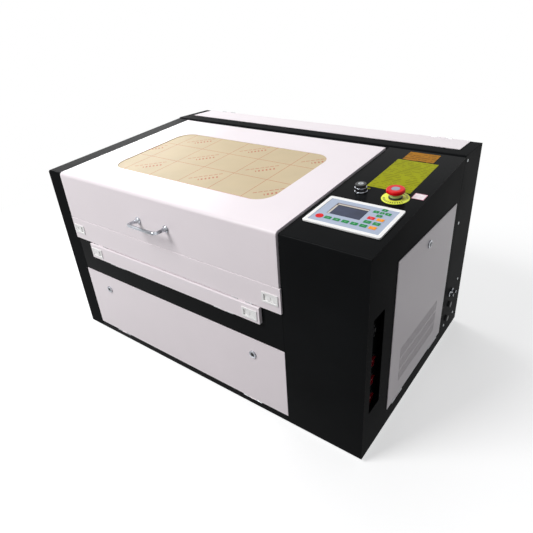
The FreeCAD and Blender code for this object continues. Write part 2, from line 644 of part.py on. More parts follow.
def make_latch(face, start, low):
    """A latch frame standing proud of the flap's face, and the hole that its body fills."""

    def slab(rim, near, far):
        return block(
            (f"{start} + {rim}", f"{start} + latch_width - {rim}"), (f"{face} + {near}", f"{face} + {far}"),
            (f"{low} + {rim}", f"{low} + latch_tall - {rim}"))

    frame = fuse(slab("0", "-latch_proud", "0"), slab("latch_rim / 2", "0", "steel"))
    well = slab("latch_rim", "-2 * latch_proud", "3 * steel")
    return cut(frame, well), slab("latch_rim / 2", "-steel", "2 * steel")


def make_slider(name, side, face, start, low):
    """The slider of one latch at the outer end of its well, with a thumb slot."""
    wide = "(latch_width - 2 * latch_rim - latch_travel - 2 * running_gap)"
    if side < 0:
        left = f"({start} + latch_rim + running_gap)"
    else:
        left = f"({start} + latch_width - latch_rim - running_gap - {wide})"
    height = (f"{low} + latch_rim + running_gap", f"{low} + latch_tall - latch_rim - running_gap")
    outer = f"({face} - latch_proud + slider_sunk)"
    slab = block((left, f"{left} + {wide}"), (outer, f"{face} + steel"), height)
    slot = block(
        (f"{left} + {wide} / 2 - thumb_slot / 2", f"{left} + {wide} / 2 + thumb_slot / 2"),
        (f"{outer} - steel", f"{outer} + thumb_deep"),
        (f"{height[0]} + thumb_rim", f"{height[1]} - thumb_rim"))
    node(f"{name}_slider_{'left' if side < 0 else 'right'}", cut(slab, slot))


def lock(spot, out):
    """A cam lock: out is "-y" or "+x", the way its head faces; spot is where its axis meets the
    sheet's outer face. Returns the barrel, the turning core with its cam, and the hole."""
    x, y, z = spot

    def along(radius, near, far):
        length = f"({far}) - ({near})"
        if out == "-y":
            return rod(radius, length, (x, f"{y} + {near}", z), "y")
        return rod(radius, length, (f"{x} - ({far})", y, z), "x")

    def bar(half_width, near, far, low, high):
        height = (f"{z} + {low}", f"{z} + {high}")
        if out == "-y":
            return block(about(x, half_width), (f"{y} + {near}", f"{y} + {far}"), height)
        return block((f"{x} - ({far})", f"{x} - ({near})"), about(y, half_width), height)

    back = "lock_barrel_long"
    head = along("lock_head_radius", "-lock_head_thick", "0")
    body = along("lock_barrel_radius", "0", back)
    bore = along("lock_core_radius + bore_gap", "-2 * lock_head_thick", "2 * lock_barrel_long")
    core = along("lock_core_radius", "lock_sunk - lock_head_thick", f"{back} + running_gap + cam_thick")
    cam = bar(
        "cam_width / 2", f"{back} + running_gap", f"{back} + running_gap + cam_thick",
        "-cam_long", "cam_width / 2")
    slot = bar(
        "key_slot_width / 2", "-2 * lock_head_thick", "lock_sunk - lock_head_thick + key_slot_deep",
        "-key_slot_tall / 2", "key_slot_tall / 2")
    hole = along("lock_barrel_radius", "-steel", "4 * steel")
    return cut(fuse(head, body), bore), cut(fuse(core, cam), slot), hole


def make_access_panel():
    """Lower front panel, hinged on its lower edge, with a lip inside the opening and two cam locks."""
    low, high = up("access_low"), up("access_low + access_tall")
    sheet = block(ACCESS_X, (f"{FRONT} - steel", FRONT), (low, high))
    inset = "(access_lip + access_gap)"

    def ring(shrink, depth):
        return block(
            (f"{ACCESS_X[0]} + {inset} + {shrink}", f"{ACCESS_X[1]} - {inset} - {shrink}"), (FRONT, depth),
            (f"{low} + {inset} + {shrink}", f"{high} - {inset} - {shrink}"))

    lip = cut(ring("0", f"{FRONT} + access_flange"), ring("steel", f"{FRONT} + 2 * access_flange"))
    face = f"({FRONT} - steel)"
    height = f"({low} + lock_rise)"
    spots = {
        "left": (f"{ACCESS_X[0]} + lock_inset_left", face, height),
        "right": (f"{ACCESS_X[1]} - lock_inset_right", face, height),
    }
    barrels, holes = [], []
    for side, spot in spots.items():
        barrel, core, hole = lock(spot, "-y")
        barrels.append(barrel)
        holes.append(hole)
        node(f"access_lock_core_{side}", core)
    node("access_lock_barrels", group(*barrels))
    axis = (f"({FRONT} - knuckle_radius - running_gap)", f"({low} - hinge_out)")
    places = [f"{ACCESS_X[0]} + hinge_inset", f"{ACCESS_X[1]} - hinge_inset"]
    node("front_access_panel", hung(
        cut(fuse(sheet, lip), *holes), places, axis, ((axis[0], FRONT), thick(axis[1])),
        ((f"{FRONT} - steel", f"{FRONT} - steel + leaf_thick"), (axis[1], f"{low} + steel"))))


def make_side_door():
    """Vented door on the right side, tilting out about its lower edge, with one cam lock."""
    low, high = up("door_low"), up("door_low + door_tall")
    near, far = deep("door_deep"), deep("door_deep + door_run")
    sheet = block((RIGHT, f"{RIGHT} + steel"), (near, far), (low, high))
    inset = "(door_lip + access_gap)"

    def ring(shrink, depth):
        return block(
            (f"{RIGHT} - {depth}", RIGHT), (f"{near} + {inset} + {shrink}", f"{far} - {inset} - {shrink}"),
            (f"{low} + {inset} + {shrink}", f"{high} - {inset} - {shrink}"))

    lip = cut(ring("0", "door_flange"), ring("steel", "2 * door_flange"))
    vents = []
    for row in range(SIZES["vent_rows"]):
        for number in range(SIZES["vent_slots"]):
            start = f"({near} + vent_first + {number} * vent_run / (vent_slots - 1))"
            floor = f"({low} + vent_low + {row} * vent_pitch)"
            vents.append(block(
                (f"{RIGHT} - steel", f"{RIGHT} + 2 * steel"), (start, f"{start} + vent_width"),
                (floor, f"{floor} + vent_tall")))
    spot = (f"({RIGHT} + steel)", f"({near} + door_lock_in)", f"({high} - door_lock_drop)")
    barrel, core, hole = lock(spot, "+x")
    node("side_lock_barrel", barrel)
    node("side_lock_core", core)
    axis = (f"({RIGHT} + knuckle_radius + running_gap)", f"({low} - hinge_out)")
    places = [f"{near} + hinge_inset / 2", f"{far} - hinge_inset / 2"]
    node("side_door", hung(
        cut(fuse(sheet, lip), hole, *vents), places, axis, ((RIGHT, axis[0]), thick(axis[1])),
        ((f"{RIGHT} + steel - leaf_thick", f"{RIGHT} + steel"), (axis[1], f"{low} + steel")), along="y"))


def make_recess():
    """Pocket behind the recess opening, with its rocker switches, port plate and screws."""
    floor = f"({RIGHT} - pocket)"
    near = deep("recess_deep - pocket_margin")
    far = deep("recess_deep + recess_run + pocket_rear")
    low, high = up("recess_low - pocket_below"), up("recess_low + recess_tall + pocket_margin")
    outer = block(
        (f"{floor} - steel", f"{RIGHT} - steel"), (f"{near} - steel", f"{far} + steel"),
        (f"{low} - steel", f"{high} + steel"))
    room = block((floor, RIGHT), (near, far), (low, high))
    frames, holes = [], []
    for number in range(3):
        middle = up(f"rocker_low + {number} * rocker_pitch")
        frame, hole, rocker = make_rocker(floor, middle)
        frames.append(frame)
        holes.append(hole)
        node(f"rocker_{number + 1}", rocker)
    node("connector_recess", cut(outer, room, *holes))
    port_y, port_z = deep("port_deep"), up("port_rise")
    port = block(
        (floor, f"{floor} + port_proud"), about(port_y, "port_wide / 2"), about(port_z, "port_tall / 2"))
    socket = block(
        (f"{floor} + port_proud / 2", f"{floor} + 2 * port_proud"), about(port_y, "port_wide / 4"),
        about(port_z, "port_tall / 3"))
    screws = [
        rod("port_screw_radius", "port_proud", (floor, port_y, height), "x")
        for height in about(port_z, "port_screw_pitch / 2")
    ]
    sockets = []
    for number in range(2):
        place = (deep(f"socket_deep - {number} * socket_step"), up(f"socket_rise - {number} * socket_fall"))
        sockets.append(rod("socket_radius", "socket_thick", (RIGHT, *place), "x"))
    node("connector_ports", group(cut(port, socket), *screws, *frames, *sockets))


def make_rocker(floor, middle):
    """One rocker switch: its frame on the pocket's floor, the hole for its body, and the rocker."""
    y = deep("rocker_deep")

    def slab(rim, near, far):
        return block(
            (f"{floor} + {near}", f"{floor} + {far}"), about(y, f"(rocker_width / 2 + {rim})"),
            about(middle, f"(rocker_tall / 2 + {rim})"))

    frame = cut(slab("rocker_rim", "0", "rocker_rim"), slab("running_gap", "-steel", "2 * rocker_rim"))
    hole = slab("running_gap", "-2 * steel", "steel")
    face = f"({floor} + rocker_rim)"
    half = "(rocker_tall / 2 - running_gap)"
    rocker = folded((f"{y} - rocker_width / 2", f"{y} + rocker_width / 2"), [
        (floor, f"{middle} - {half} + rocker_taper"), (floor, f"{middle} + {half} - rocker_taper"),
        (f"{face} + rocker_proud", f"{middle} + {half} - rocker_taper"),
        (f"{face} + rocker_rest", middle), (f"{face} + rocker_rest", f"{middle} - {half} + rocker_taper")],
        along="y")
    return frame, hole, rocker


def make_panel():
    """Control panel: bezel, keypad membrane with its raised keys, and the display's glass."""
    x, d = "panel_left", "panel_deep"

    def slab(border, low, high):
        across = (f"{x} + {border}", f"{x} + panel_width - {border}")
        run = (f"{d} + {border}", f"{d} + panel_run - {border}")
        return deck_block(across, run, (low, high))

    body = rounded(slab("0", "0", "panel_proud"), UPRIGHT_EDGES, size("panel_corner"))
    floor = "(panel_proud - membrane_drop - membrane_thick)"
    node("panel_bezel", cut(body, slab("panel_border", floor, "2 * panel_proud")))
    surface = "(panel_proud - membrane_drop)"
    glass_x = (f"{x} + display_left", f"{x} + display_left + display_width")
    glass_d = (f"{d} + display_deep", f"{d} + display_deep + display_run")
    opening = deck_block(glass_x, glass_d, (f"{floor} - steel", "2 * panel_proud"))
    film = cut(slab("panel_border", floor, surface), opening)
    node("display_glass", deck_block(glass_x, glass_d, (floor, f"{floor} + display_thick")))

    raised = (surface, f"{surface} + key_proud")

    def key(across, run, width="key_long", depth="key_run"):
        return deck_block(
            about(f"{x} + {across}", f"{width} / 2"), about(f"{d} + {run}", f"{depth} / 2"), raised)

    keys = [deck_rod("key_round", f"{x} + key_first", f"{d} + key_front", raised)]
    keys += [key(f"key_first + {number} * key_pitch", "key_front") for number in range(1, 7)]
    for row in (1, 2):
        for number in (5, 6):
            keys.append(key(f"key_first + {number} * key_pitch", f"key_front + {row} * key_row"))
    keys.append(key("arrow_left", "arrow_deep", "enter_long", "enter_run"))
    for across, run in ((-1, 0), (1, 0), (0, -1), (0, 1)):
        place = (f"arrow_left + {across} * arrow_pitch", f"arrow_deep + {run} * arrow_pitch")
        keys.append(key(*place, "arrow_long", "arrow_run"))
    node("keypad_membrane", fuse(film, *keys))


def make_stop_button():
    """Emergency stop: plate, collar with the body under the deck, and the mushroom with its stem."""
    place = ("stop_x", "stop_deep")
    bore = deck_rod("stop_stem + bore_gap", *place, ("-stop_body / 2", "2 * stop_head"))
    plate = cut(
        deck_rod("stop_plate", *place, ("0", "plate_thick")),
        deck_rod("mount_hole", *place, ("-plate_thick", "2 * plate_thick")))
    node("estop_plate", plate)
    ring = "(plate_thick + stop_ring_tall)"
    collar_top = f"({ring} + stop_collar_tall)"
    collar = fuse(
        deck_rod("stop_ring", *place, ("plate_thick", ring)),
        deck_rod("stop_collar", *place, (ring, collar_top)),
        deck_rod("mount_hole", *place, ("-stop_body", "plate_thick")))
    node("estop_collar", cut(collar, bore))
    under = f"({collar_top} + stop_travel + running_gap)"
    cap = f"({under} + stop_head_tall)"
    head = rounded(deck_rod("stop_head", *place, (under, cap)), ROD_TOP_EDGE, size("stop_bend"))
    dish = deck_rod("stop_cap", *place, (f"{cap} - stop_cap_deep", f"{cap} + stop_cap_deep"))
    stem_foot = "stop_travel - stop_body / 2 + running_gap"
    stem = deck_rod("stop_stem", *place, (stem_foot, f"{under} + running_gap"))
    node("estop_mushroom", cut(fuse(head, stem), dish))


def make_key_switch():
    """Key switch: chrome bezel, black head with its body under the deck, and the turning core."""
    place = ("key_x", "stop_deep")
    barrel_top = "(key_bezel_thick + key_barrel_tall)"
    head_top = f"({barrel_top} + key_head_tall)"
    bezel = fuse(
        deck_rod("key_bezel", *place, ("0", "key_bezel_thick")),
        deck_rod("key_barrel", *place, ("key_bezel_thick", barrel_top)))
    node("key_switch_bezel", cut(bezel, deck_rod("key_stem", *place, ("-steel", f"2 * {barrel_top}"))))
    head = fuse(
        deck_rod("key_head", *place, (barrel_top, head_top)), deck_rod("key_stem", *place, ("0", barrel_top)),
        deck_rod("mount_hole", *place, ("-key_body", "0")))
    bore = deck_rod("key_core + bore_gap", *place, ("0", f"2 * {head_top}"))
    node("key_switch_head", cut(head, bore))
    core = deck_rod("key_core", *place, ("running_gap", f"{head_top} + key_proud"))
    slot = deck_block(
        about("key_x", "key_slot_width / 2"), about("stop_deep", "key_slot_tall / 2"),
        (f"{head_top} - key_slot_deep", f"{head_top} + 2 * key_proud"))
    node("key_switch_core", cut(core, slot))


SCREW_SPOTS = (("screw_front", "screw_top"), ("screw_front", "screw_middle"), ("screw_rear", "screw_third"),
               ("screw_rear", "screw_low"), ("screw_front", "screw_low"))


def make_outer_fittings():
    """Case screws on both sides of the rear cover, and the hose barbs on the right."""
    screws = []
    for distance, height in SCREW_SPOTS:
        for start in (f"{LEFT} - bolt_head", RIGHT):
            screws.append(rod("bolt_radius", "bolt_head", (start, deep(distance), up(height)), "x"))
    node("case_screws", group(*screws))
    barbs = []
    for number in range(2):
        y = deep(f"barb_deep + {number} * barb_pitch")
        spot = (RIGHT, y, up("barb_rise"))
        collar = rod("barb_collar", "barb_collar_thick", spot, "x")
        spout = rod("barb_radius", "barb_collar_thick + barb_long", spot, "x")
        bore = rod("barb_bore", "2 * barb_long", (f"{RIGHT} + barb_collar_thick", y, up("barb_rise")), "x")
        barbs.append(cut(fuse(collar, spout), bore))
    node("hose_barbs", group(*barbs))


RAIL_X = (f"({OPENING_LEFT} + rail_inset)", f"({BAY_LEFT} - rail_inset)")
RAIL_TOP = up("rail_low + rail_tall")
BEAM_LOW = f"({RAIL_TOP} + running_gap + beam_lift)"
BEAM_TOP = f"({BEAM_LOW} + beam_tall)"
BEAM_MIDDLE = f"(({BEAM_LOW} + {BEAM_TOP}) / 2)"
BEAM_FRONT = deep("beam_home")
BEAM_REAR = deep("beam_home + beam_run")
TRACK_X = (f"({RAIL_X[0]} + end_half)", f"({RAIL_X[1]} - end_half)")
MIRROR_TOP = f"({up('laser_rise')} + mirror_size / 2)"


def make_rails():
    """Two Y rails on four posts."""
    pieces = []
    for x in RAIL_X:
        run = (deep("rail_front"), deep("rail_front + rail_run"))
        bar = block(about(x, "rail_width / 2"), run, (up("rail_low"), RAIL_TOP))
        under = (up("base_steel"), up("rail_low"))
        posts = [
            block(about(x, "post_width / 2"), (start, f"{start} + post_width"), under)
            for start in (deep("rail_front"), deep("rail_front + rail_run - post_width"))
        ]
        pieces.append(fuse(bar, *posts))
    node("y_rails", group(*pieces))


def make_gantry():
    """Gantry beam on its end plates with the linear track and second mirror, and the X drive."""
    ends = (f"{RAIL_X[0]} - end_half", f"{RAIL_X[1]} + end_half")
    beam = block(ends, (BEAM_FRONT, BEAM_REAR), (BEAM_LOW, BEAM_TOP))
    plate_run = (f"{BEAM_FRONT} - end_reach", f"{BEAM_REAR} + end_reach")
    plates = [block(about(x, "end_half"), plate_run, (f"{RAIL_TOP} + running_gap", BEAM_LOW)) for x in RAIL_X]
    track = block(TRACK_X, (f"{BEAM_FRONT} - track_thick", BEAM_FRONT), about(BEAM_MIDDLE, "track_tall / 2"))
    node("gantry_beam", fuse(beam, track, *plates))
    mirror = block(
        about(RAIL_X[0], "mirror_size / 2"), (f"{BEAM_FRONT} - mirror_size", BEAM_FRONT),
        (f"{RAIL_TOP} + running_gap + beam_lift", MIRROR_TOP))
    window = rod("mirror_radius", "2 * steel", (
        RAIL_X[0], f"{BEAM_FRONT} - mirror_size - steel", up("laser_rise")), "y")
    node("second_mirror", cut(mirror, window))
    make_x_drive()


def make_x_drive():
    """Belt loop on two pulleys along the beam's top, and the motor behind its right end."""
    y = f"({BEAM_FRONT} + beam_run / 2)"
    ends = (f"({TRACK_X[0]} + pulley_radius)", f"({TRACK_X[1]} - pulley_radius)")
    height = (BEAM_TOP, f"{BEAM_TOP} + belt_tall")
    pulleys = [rod("pulley_radius", "belt_tall", (x, y, BEAM_TOP)) for x in ends]

    def loop(grow, low, high):
        return fuse(
            *[rod(f"pulley_radius + {grow}", f"({high}) - ({low})", (x, y, low)) for x in ends],
            block(ends, (f"{y} - pulley_radius - {grow}", f"{y} + pulley_radius + {grow}"), (low, high)))

    belt = cut(loop("belt_thick", *height), loop("0", f"{BEAM_TOP} - steel", f"{BEAM_TOP} + 2 * belt_tall"))
    motor = block(
        about(RAIL_X[1], "motor_size / 2"), (BEAM_REAR, f"{BEAM_REAR} + motor_size"),
        (BEAM_LOW, f"{BEAM_LOW} + motor_size"))
    node("x_drive", group(belt, motor, *pulleys))


def make_head():
    """Carriage plate on the track, mirror block, lens tube and nozzle."""
    x = f"({OPENING_LEFT} + head_home)"
    rear = f"({BEAM_FRONT} - track_thick - running_gap)"
    front = f"({rear} - carriage_thick)"
    plate = block(about(x, "carriage_width / 2"), (front, rear), about(BEAM_MIDDLE, "carriage_tall / 2"))
    y = f"({front} - mirror_block / 2)"
    block_low = f"({up('laser_rise')} - mirror_block / 2)"
    mirror = block(
        about(x, "mirror_block / 2"), (f"{front} - mirror_block", front),
        (block_low, f"{up('laser_rise')} + mirror_block / 2"))
    eye = rod("mirror_radius", "mirror_block / 2", (f"{x} - mirror_block", y, up("laser_rise")), "x")
    tip = f"({up('table_top')} + nozzle_gap)"
    nozzle_top = f"({tip} + nozzle_long)"
    tube = rod("tube_radius", f"{block_low} - {nozzle_top}", (x, y, nozzle_top))
    nozzle = cone("nozzle_tip", "tube_radius", "nozzle_long", (x, y, tip))
    node("laser_head", group(plate, cut(fuse(mirror, tube, nozzle), eye)))


def make_table():
    """Slat table in its frame with a lug and nut at each side, and the two lift screws."""
    middle = f"(({OPENING_LEFT} + {BAY_LEFT}) / 2)"
    x = tuple(f"({edge})" for edge in about(middle, "table_width / 2"))
    y = (deep("table_deep"), deep("table_deep + table_run"))
    top = up("table_top")
    inner_x = (f"{x[0]} + table_wall", f"{x[1]} - table_wall")
    inner_y = (f"{y[0]} + table_wall", f"{y[1]} - table_wall")
    frame = cut(
        block(x, y, (f"{top} - table_tall", top)),
        block(inner_x, inner_y, (f"{top} - 2 * table_tall", f"{top} + table_tall")))
    lugs, bores = [], []
    for side, edge in ((-1, x[0]), (1, x[1])):
        screw_x = f"({edge} + {side} * screw_out)"
        screw_y = deep("screw_deep")
        low = f"({top} - table_tall)"
        lugs.append(block(
            (screw_x, edge) if side < 0 else (edge, screw_x), about(screw_y, "nut_radius"),
            (low, f"{low} + nut_tall")))
        lugs.append(rod("nut_radius", "nut_tall", (screw_x, screw_y, low)))
        below = f"{low} - table_tall / 2"
        bores.append(rod("screw_radius + bore_gap", "2 * table_tall", (screw_x, screw_y, below)))
        foot = up("base_steel + running_gap")
        screw = fuse(
            rod("screw_radius", f"{top} + screw_above - {foot}", (screw_x, screw_y, foot)),
            rod("screw_foot", "screw_foot_tall", (screw_x, screw_y, foot)))
        node(f"lift_screw_{'left' if side < 0 else 'right'}", screw)
    node("table_frame", cut(fuse(frame, *lugs), *bores))
    slats = []
    for number in range(1, SIZES["slat_count"] + 1):
        slat_x = f"{inner_x[0]} + {number} * (table_width - 2 * table_wall) / (slat_count + 1)"
        slats.append(block(about(slat_x, "slat_thick / 2"), inner_y, (f"{top} - table_tall", top)))
    node("table_slats", group(*slats))


def make_laser():
    """Laser tube in two clamps on the bulkhead, and the first mirror on its arm."""
    axis = (deep("laser_deep"), up("laser_rise"))
    start = "(laser_shift - laser_long / 2)"
    wall = deep("bulkhead_deep + steel")
    node("laser_tube", rod("laser_radius", "laser_long", (start, *axis), "x"))
    clamps = []
    for side in (-1, 1):
        x = f"(laser_shift + {side} * clamp_spread / 2)"
        grip = "(laser_radius + clamp_wall)"
        arm = block(about(x, "clamp_width / 2"), (wall, f"{axis[0]} + {grip}"), about(axis[1], grip))
        clamps.append(cut(arm, rod("laser_radius", "2 * clamp_width", (f"{x} - clamp_width", *axis), "x")))
    half = "mirror_size / 2"
    across = about(RAIL_X[0], half)
    holder = block(across, about(axis[0], half), about(axis[1], half))
    foot = f"{axis[1]} - {half}"
    arm = block(across, (wall, f"{axis[0]} - {half}"), (foot, f"{foot} + 2 * steel"))
    node("tube_mounts", group(*clamps, fuse(holder, arm)))


def make_electronics():
    """Laser power supply on the base plate and controller on the divider."""
    left = f"({BAY_LEFT} + steel)"
    node("laser_power_supply", block(
        (f"{left} + supply_gap", f"{left} + supply_gap + supply_width"),
        (deep("supply_deep"), deep("supply_deep + supply_run")),
        (up("base_steel"), up("base_steel + supply_tall"))))
    node("controller", block(
        (left, f"{left} + board_width"), (deep("board_deep"), deep("board_deep + board_run")),
        (up("board_rise"), up("board_rise + board_tall"))))


def check_document():
    """Stop if any object failed, or if a sub-part is empty or not valid."""
    for item in DOC.Objects:
        if {"Invalid", "Error"} & set(item.State):
            raise RuntimeError(f"{item.Name} ({item.Label}) failed: {item.State}")
    for item in NODES:
        if item.Shape.isNull() or not item.Shape.isValid():
            raise RuntimeError(f"{item.Label} has no valid shape")


def write_parts():
    """One STEP file for each sub-part."""
    os.makedirs("parts", exist_ok=True)
    for item in NODES:
        item.Shape.exportStep(f"parts/{item.Label}.step")


def main():
    """Build every sub-part, check the document and write the parts."""
    fill_sheet()
    make_base()
    make_sides()
    make_front_frame()
    make_rear()
    make_rear_lid()
    make_deck()
    make_inner_walls()
    make_lid()
    make_flap("upper_flap", UPPER_X, "flap_proud", "latch_rise_upper")
    make_flap("lower_flap", LOWER_X, "lower_flap_proud", "latch_rise_lower")
    make_access_panel()
    make_side_door()
    make_recess()
    make_panel()
    make_stop_button()
    make_key_switch()
    make_outer_fittings()
    make_rails()
    make_gantry()
    make_head()
    make_table()
    make_laser()
    make_electronics()
    node("fixed_hinges", group(*FIXED_HINGES))
    DOC.recompute()
    check_document()
    write_parts()


main()
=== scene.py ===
"""Desktop laser cutter: the visible finish over its assembled frame."""

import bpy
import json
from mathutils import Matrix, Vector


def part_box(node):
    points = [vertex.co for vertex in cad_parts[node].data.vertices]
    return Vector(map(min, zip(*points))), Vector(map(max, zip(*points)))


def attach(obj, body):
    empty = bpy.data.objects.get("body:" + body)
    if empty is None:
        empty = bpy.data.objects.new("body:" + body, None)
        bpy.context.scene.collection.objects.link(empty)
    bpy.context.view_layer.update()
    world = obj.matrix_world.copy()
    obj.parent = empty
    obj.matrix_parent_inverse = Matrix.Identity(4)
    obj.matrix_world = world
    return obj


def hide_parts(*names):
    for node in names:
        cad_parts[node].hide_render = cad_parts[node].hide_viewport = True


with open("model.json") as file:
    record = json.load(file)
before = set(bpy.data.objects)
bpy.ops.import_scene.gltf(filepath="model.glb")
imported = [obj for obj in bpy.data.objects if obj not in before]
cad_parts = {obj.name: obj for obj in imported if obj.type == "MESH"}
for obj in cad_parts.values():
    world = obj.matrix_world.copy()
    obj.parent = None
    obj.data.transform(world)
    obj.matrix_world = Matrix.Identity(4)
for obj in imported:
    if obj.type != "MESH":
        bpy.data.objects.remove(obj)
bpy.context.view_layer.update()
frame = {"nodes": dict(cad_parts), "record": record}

import json
import math

import bmesh
import bpy
from bpy.props import FloatProperty, FloatVectorProperty, IntProperty
from mathutils import Matrix, Vector

bl_info = {
    "name": "Desktop laser cutter",
    "version": (1, 0, 0),
    "blender": (4, 5, 0),
    "location": "View3D > Sidebar > Laser cutter",
    "description": "Builds the finished look of a desktop laser cutter over its frame",
    "category": "Object",
}

SHARP = math.radians(32)
NODES = frame["nodes"]


# ---------------------------------------------------------------- sizes and colours

def linear(code):
    """An sRGB hex colour as linear red, green, blue and alpha."""
    values = [int(code[i:i + 2], 16) / 255 for i in (1, 3, 5)]
    return tuple(v / 12.92 if v <= 0.04045 else ((v + 0.055) / 1.055) ** 2.4 for v in values) + (1.0,)


def colour(name, text, code):
    """A colour property that defaults to a hex value."""
    return FloatVectorProperty(
        name=name, description=text, subtype="COLOR", size=4, min=0, max=1, default=linear(code))


class CutterSizes(bpy.types.PropertyGroup):
    """Sizes of the finish that a user may change."""
    edge: FloatProperty(
        name="Sheet edge", description="Radius of the sheet metal's broken edges", default=0.0007,
        unit="LENGTH")
    peel: FloatProperty(
        name="Orange peel", description="Spacing of the powder coat's ripple", default=0.0022, unit="LENGTH")
    steps: IntProperty(
        name="Turning steps", description="Facets round each turned piece", default=64, min=16, max=128)
    window_square: FloatProperty(
        name="Film square", description="Pitch of the lines printed on the protective film", default=0.103,
        unit="LENGTH")


class CutterColours(bpy.types.PropertyGroup):
    """Colours of the finish that a user may change."""
    black: colour("Black coat", "Gloss powder coat of the cabinet", "#131415")
    white: colour("White coat", "Powder coat of the lid, flaps and doors", "#EFE6EA")
    film: colour("Window film", "Brown protective paper on the window", "#C9B796")
    stop: colour("Stop button", "Mushroom of the emergency stop", "#E00A12")
    plate: colour("Stop plate", "Plate under the emergency stop", "#F2FF5C")
    keypad: colour("Keypad", "Ground of the keypad film", "#A8B4CA")


# ---------------------------------------------------------------- materials

def put(tree, kind, inputs=None, **settings):
    """Add a node with its settings; inputs hold values or the sockets to link from."""
    made = tree.nodes.new(kind)
    for key, value in settings.items():
        setattr(made, key, value)
    for key, value in (inputs or {}).items():
        if isinstance(value, bpy.types.NodeSocket):
            tree.links.new(value, made.inputs[key])
        else:
            made.inputs[key].default_value = value
    return made


def blank(name):
    """A new material with an empty tree, and the Object coordinates in metres."""
    material = bpy.data.materials.new(name)
    material.use_nodes = True
    tree = material.node_tree
    tree.nodes.clear()
    place = put(tree, "ShaderNodeTexCoord").outputs["Object"]
    return material, tree, place


def close(material, tree, shader):
    """Link the surface and return the material."""
    put(tree, "ShaderNodeOutputMaterial", {"Surface": shader.outputs[0]})
    material.diffuse_color = tuple(shader.inputs[0].default_value)
    return material


def tones(tree, place, base, spread, size, detail=3):
    """Slow changes of tone about a base colour; size is the patches' width."""
    cloud = put(tree, "ShaderNodeTexNoise", {"Vector": place, "Scale": 1 / size, "Detail": detail})
    ramp = put(tree, "ShaderNodeValToRGB", {"Fac": cloud.outputs["Fac"]})
    for stop, factor, at in zip(ramp.color_ramp.elements, (1 - spread, 1 + spread), (0.3, 0.7)):
        stop.position = at
        stop.color = tuple(min(1, max(0, c * factor)) for c in base[:3]) + (1,)
    return ramp.outputs["Color"]


def spread_range(tree, source, low, high):
    """A noise value spread over a range."""
    return put(tree, "ShaderNodeMapRange", {
        "Value": source, "From Min": 0.3, "From Max": 0.7, "To Min": low, "To Max": high}).outputs["Result"]


def surface(name, base, rough, grain, depth, metal=0.0, spread=0.04, patch=0.12, coat=0.0, stretch=(1, 1, 1),
            smear=0.08, specular=0.5):
    """A solid finish: grain and depth are its texture's spacing and height in metres, patch the
    width of its changes of tone, stretch the grain's direction."""
    material, tree, place = blank(name)
    laid = put(tree, "ShaderNodeMapping", {"Vector": place, "Scale": stretch}).outputs["Vector"]
    fine = put(tree, "ShaderNodeTexNoise", {"Vector": laid, "Scale": 1 / grain, "Detail": 2})
    slow = put(tree, "ShaderNodeTexNoise", {"Vector": place, "Scale": 1 / patch, "Detail": 4})
    bump = put(tree, "ShaderNodeBump", {"Height": fine.outputs["Fac"], "Distance": depth, "Strength": 1.0})
    shader = put(tree, "ShaderNodeBsdfPrincipled", {
        "Base Color": tones(tree, laid, base, spread, patch),
        "Roughness": spread_range(tree, slow.outputs["Fac"], rough * (1 - smear), rough * (1 + smear)),
        "Normal": bump.outputs["Normal"], "Metallic": metal, "Coat Weight": coat, "Coat Roughness": 0.08,
        "Specular IOR Level": specular})
    return close(material, tree, shader)


def axis_of(tree, place, which):
    """One coordinate of a place."""
    return put(tree, "ShaderNodeSeparateXYZ", {"Vector": place}).outputs[which]


def maths(tree, operation, first, second=0.0, third=0.0):
    """One step of arithmetic on sockets or numbers."""
    step = put(tree, "ShaderNodeMath", {0: first, 1: second, 2: third}, operation=operation)
    return step.outputs[0]


def stripe(tree, value, start, pitch, width):
    """1 on lines of a width at start and every pitch from it, otherwise 0."""
    turn = maths(tree, "FRACT", maths(tree, "DIVIDE", maths(tree, "SUBTRACT", value, start), pitch))
    off = maths(tree, "ABSOLUTE", maths(tree, "SUBTRACT", turn, 0.5))
    return maths(tree, "GREATER_THAN", off, 0.5 - width / pitch / 2)


def within(tree, value, low, high):
    """1 where a value is between two others, otherwise 0."""
    return maths(
        tree, "MULTIPLY", maths(tree, "GREATER_THAN", value, low), maths(tree, "LESS_THAN", value, high))


def off_centre(tree, value, start, pitch):
    """How far a value is from the middle of the step of a pitch that it falls in."""
    turn = maths(tree, "FRACT", maths(tree, "DIVIDE", maths(tree, "SUBTRACT", value, start), pitch))
    return maths(tree, "MULTIPLY", maths(tree, "SUBTRACT", turn, 0.5), pitch)


def over(tree, under, mark, amount, code):
    """A colour laid over another where the mark is 1."""
    fac = maths(tree, "MULTIPLY", mark, amount)
    mixed = put(tree, "ShaderNodeMix", data_type="RGBA")
    tree.links.new(fac, mixed.inputs[0])
    tree.links.new(under, mixed.inputs[6])
    mixed.inputs[7].default_value = linear(code)
    return mixed.outputs[2]


# the printed grid: where it starts along X and Y, how deep a square is for its width, the line's width
GRID_START, GRID_DEEP, GRID_LINE = (0.0245, -0.031), 0.95, 0.0015
# the printed marks: their lean as a run along X and Y, and for each of their two rows its level, its
# thickness, its two ends, the pitch and length of its dashes, and how strongly it is inked
MARK_LEAN = (0.74, 0.67)
MARK_ROWS = (
    (0.007, 0.0028, -0.044, 0.044, 0.0125, 0.0095, 0.75),
    (-0.010, 0.009, -0.019, 0.034, 0.0094, 0.0044, 0.7))


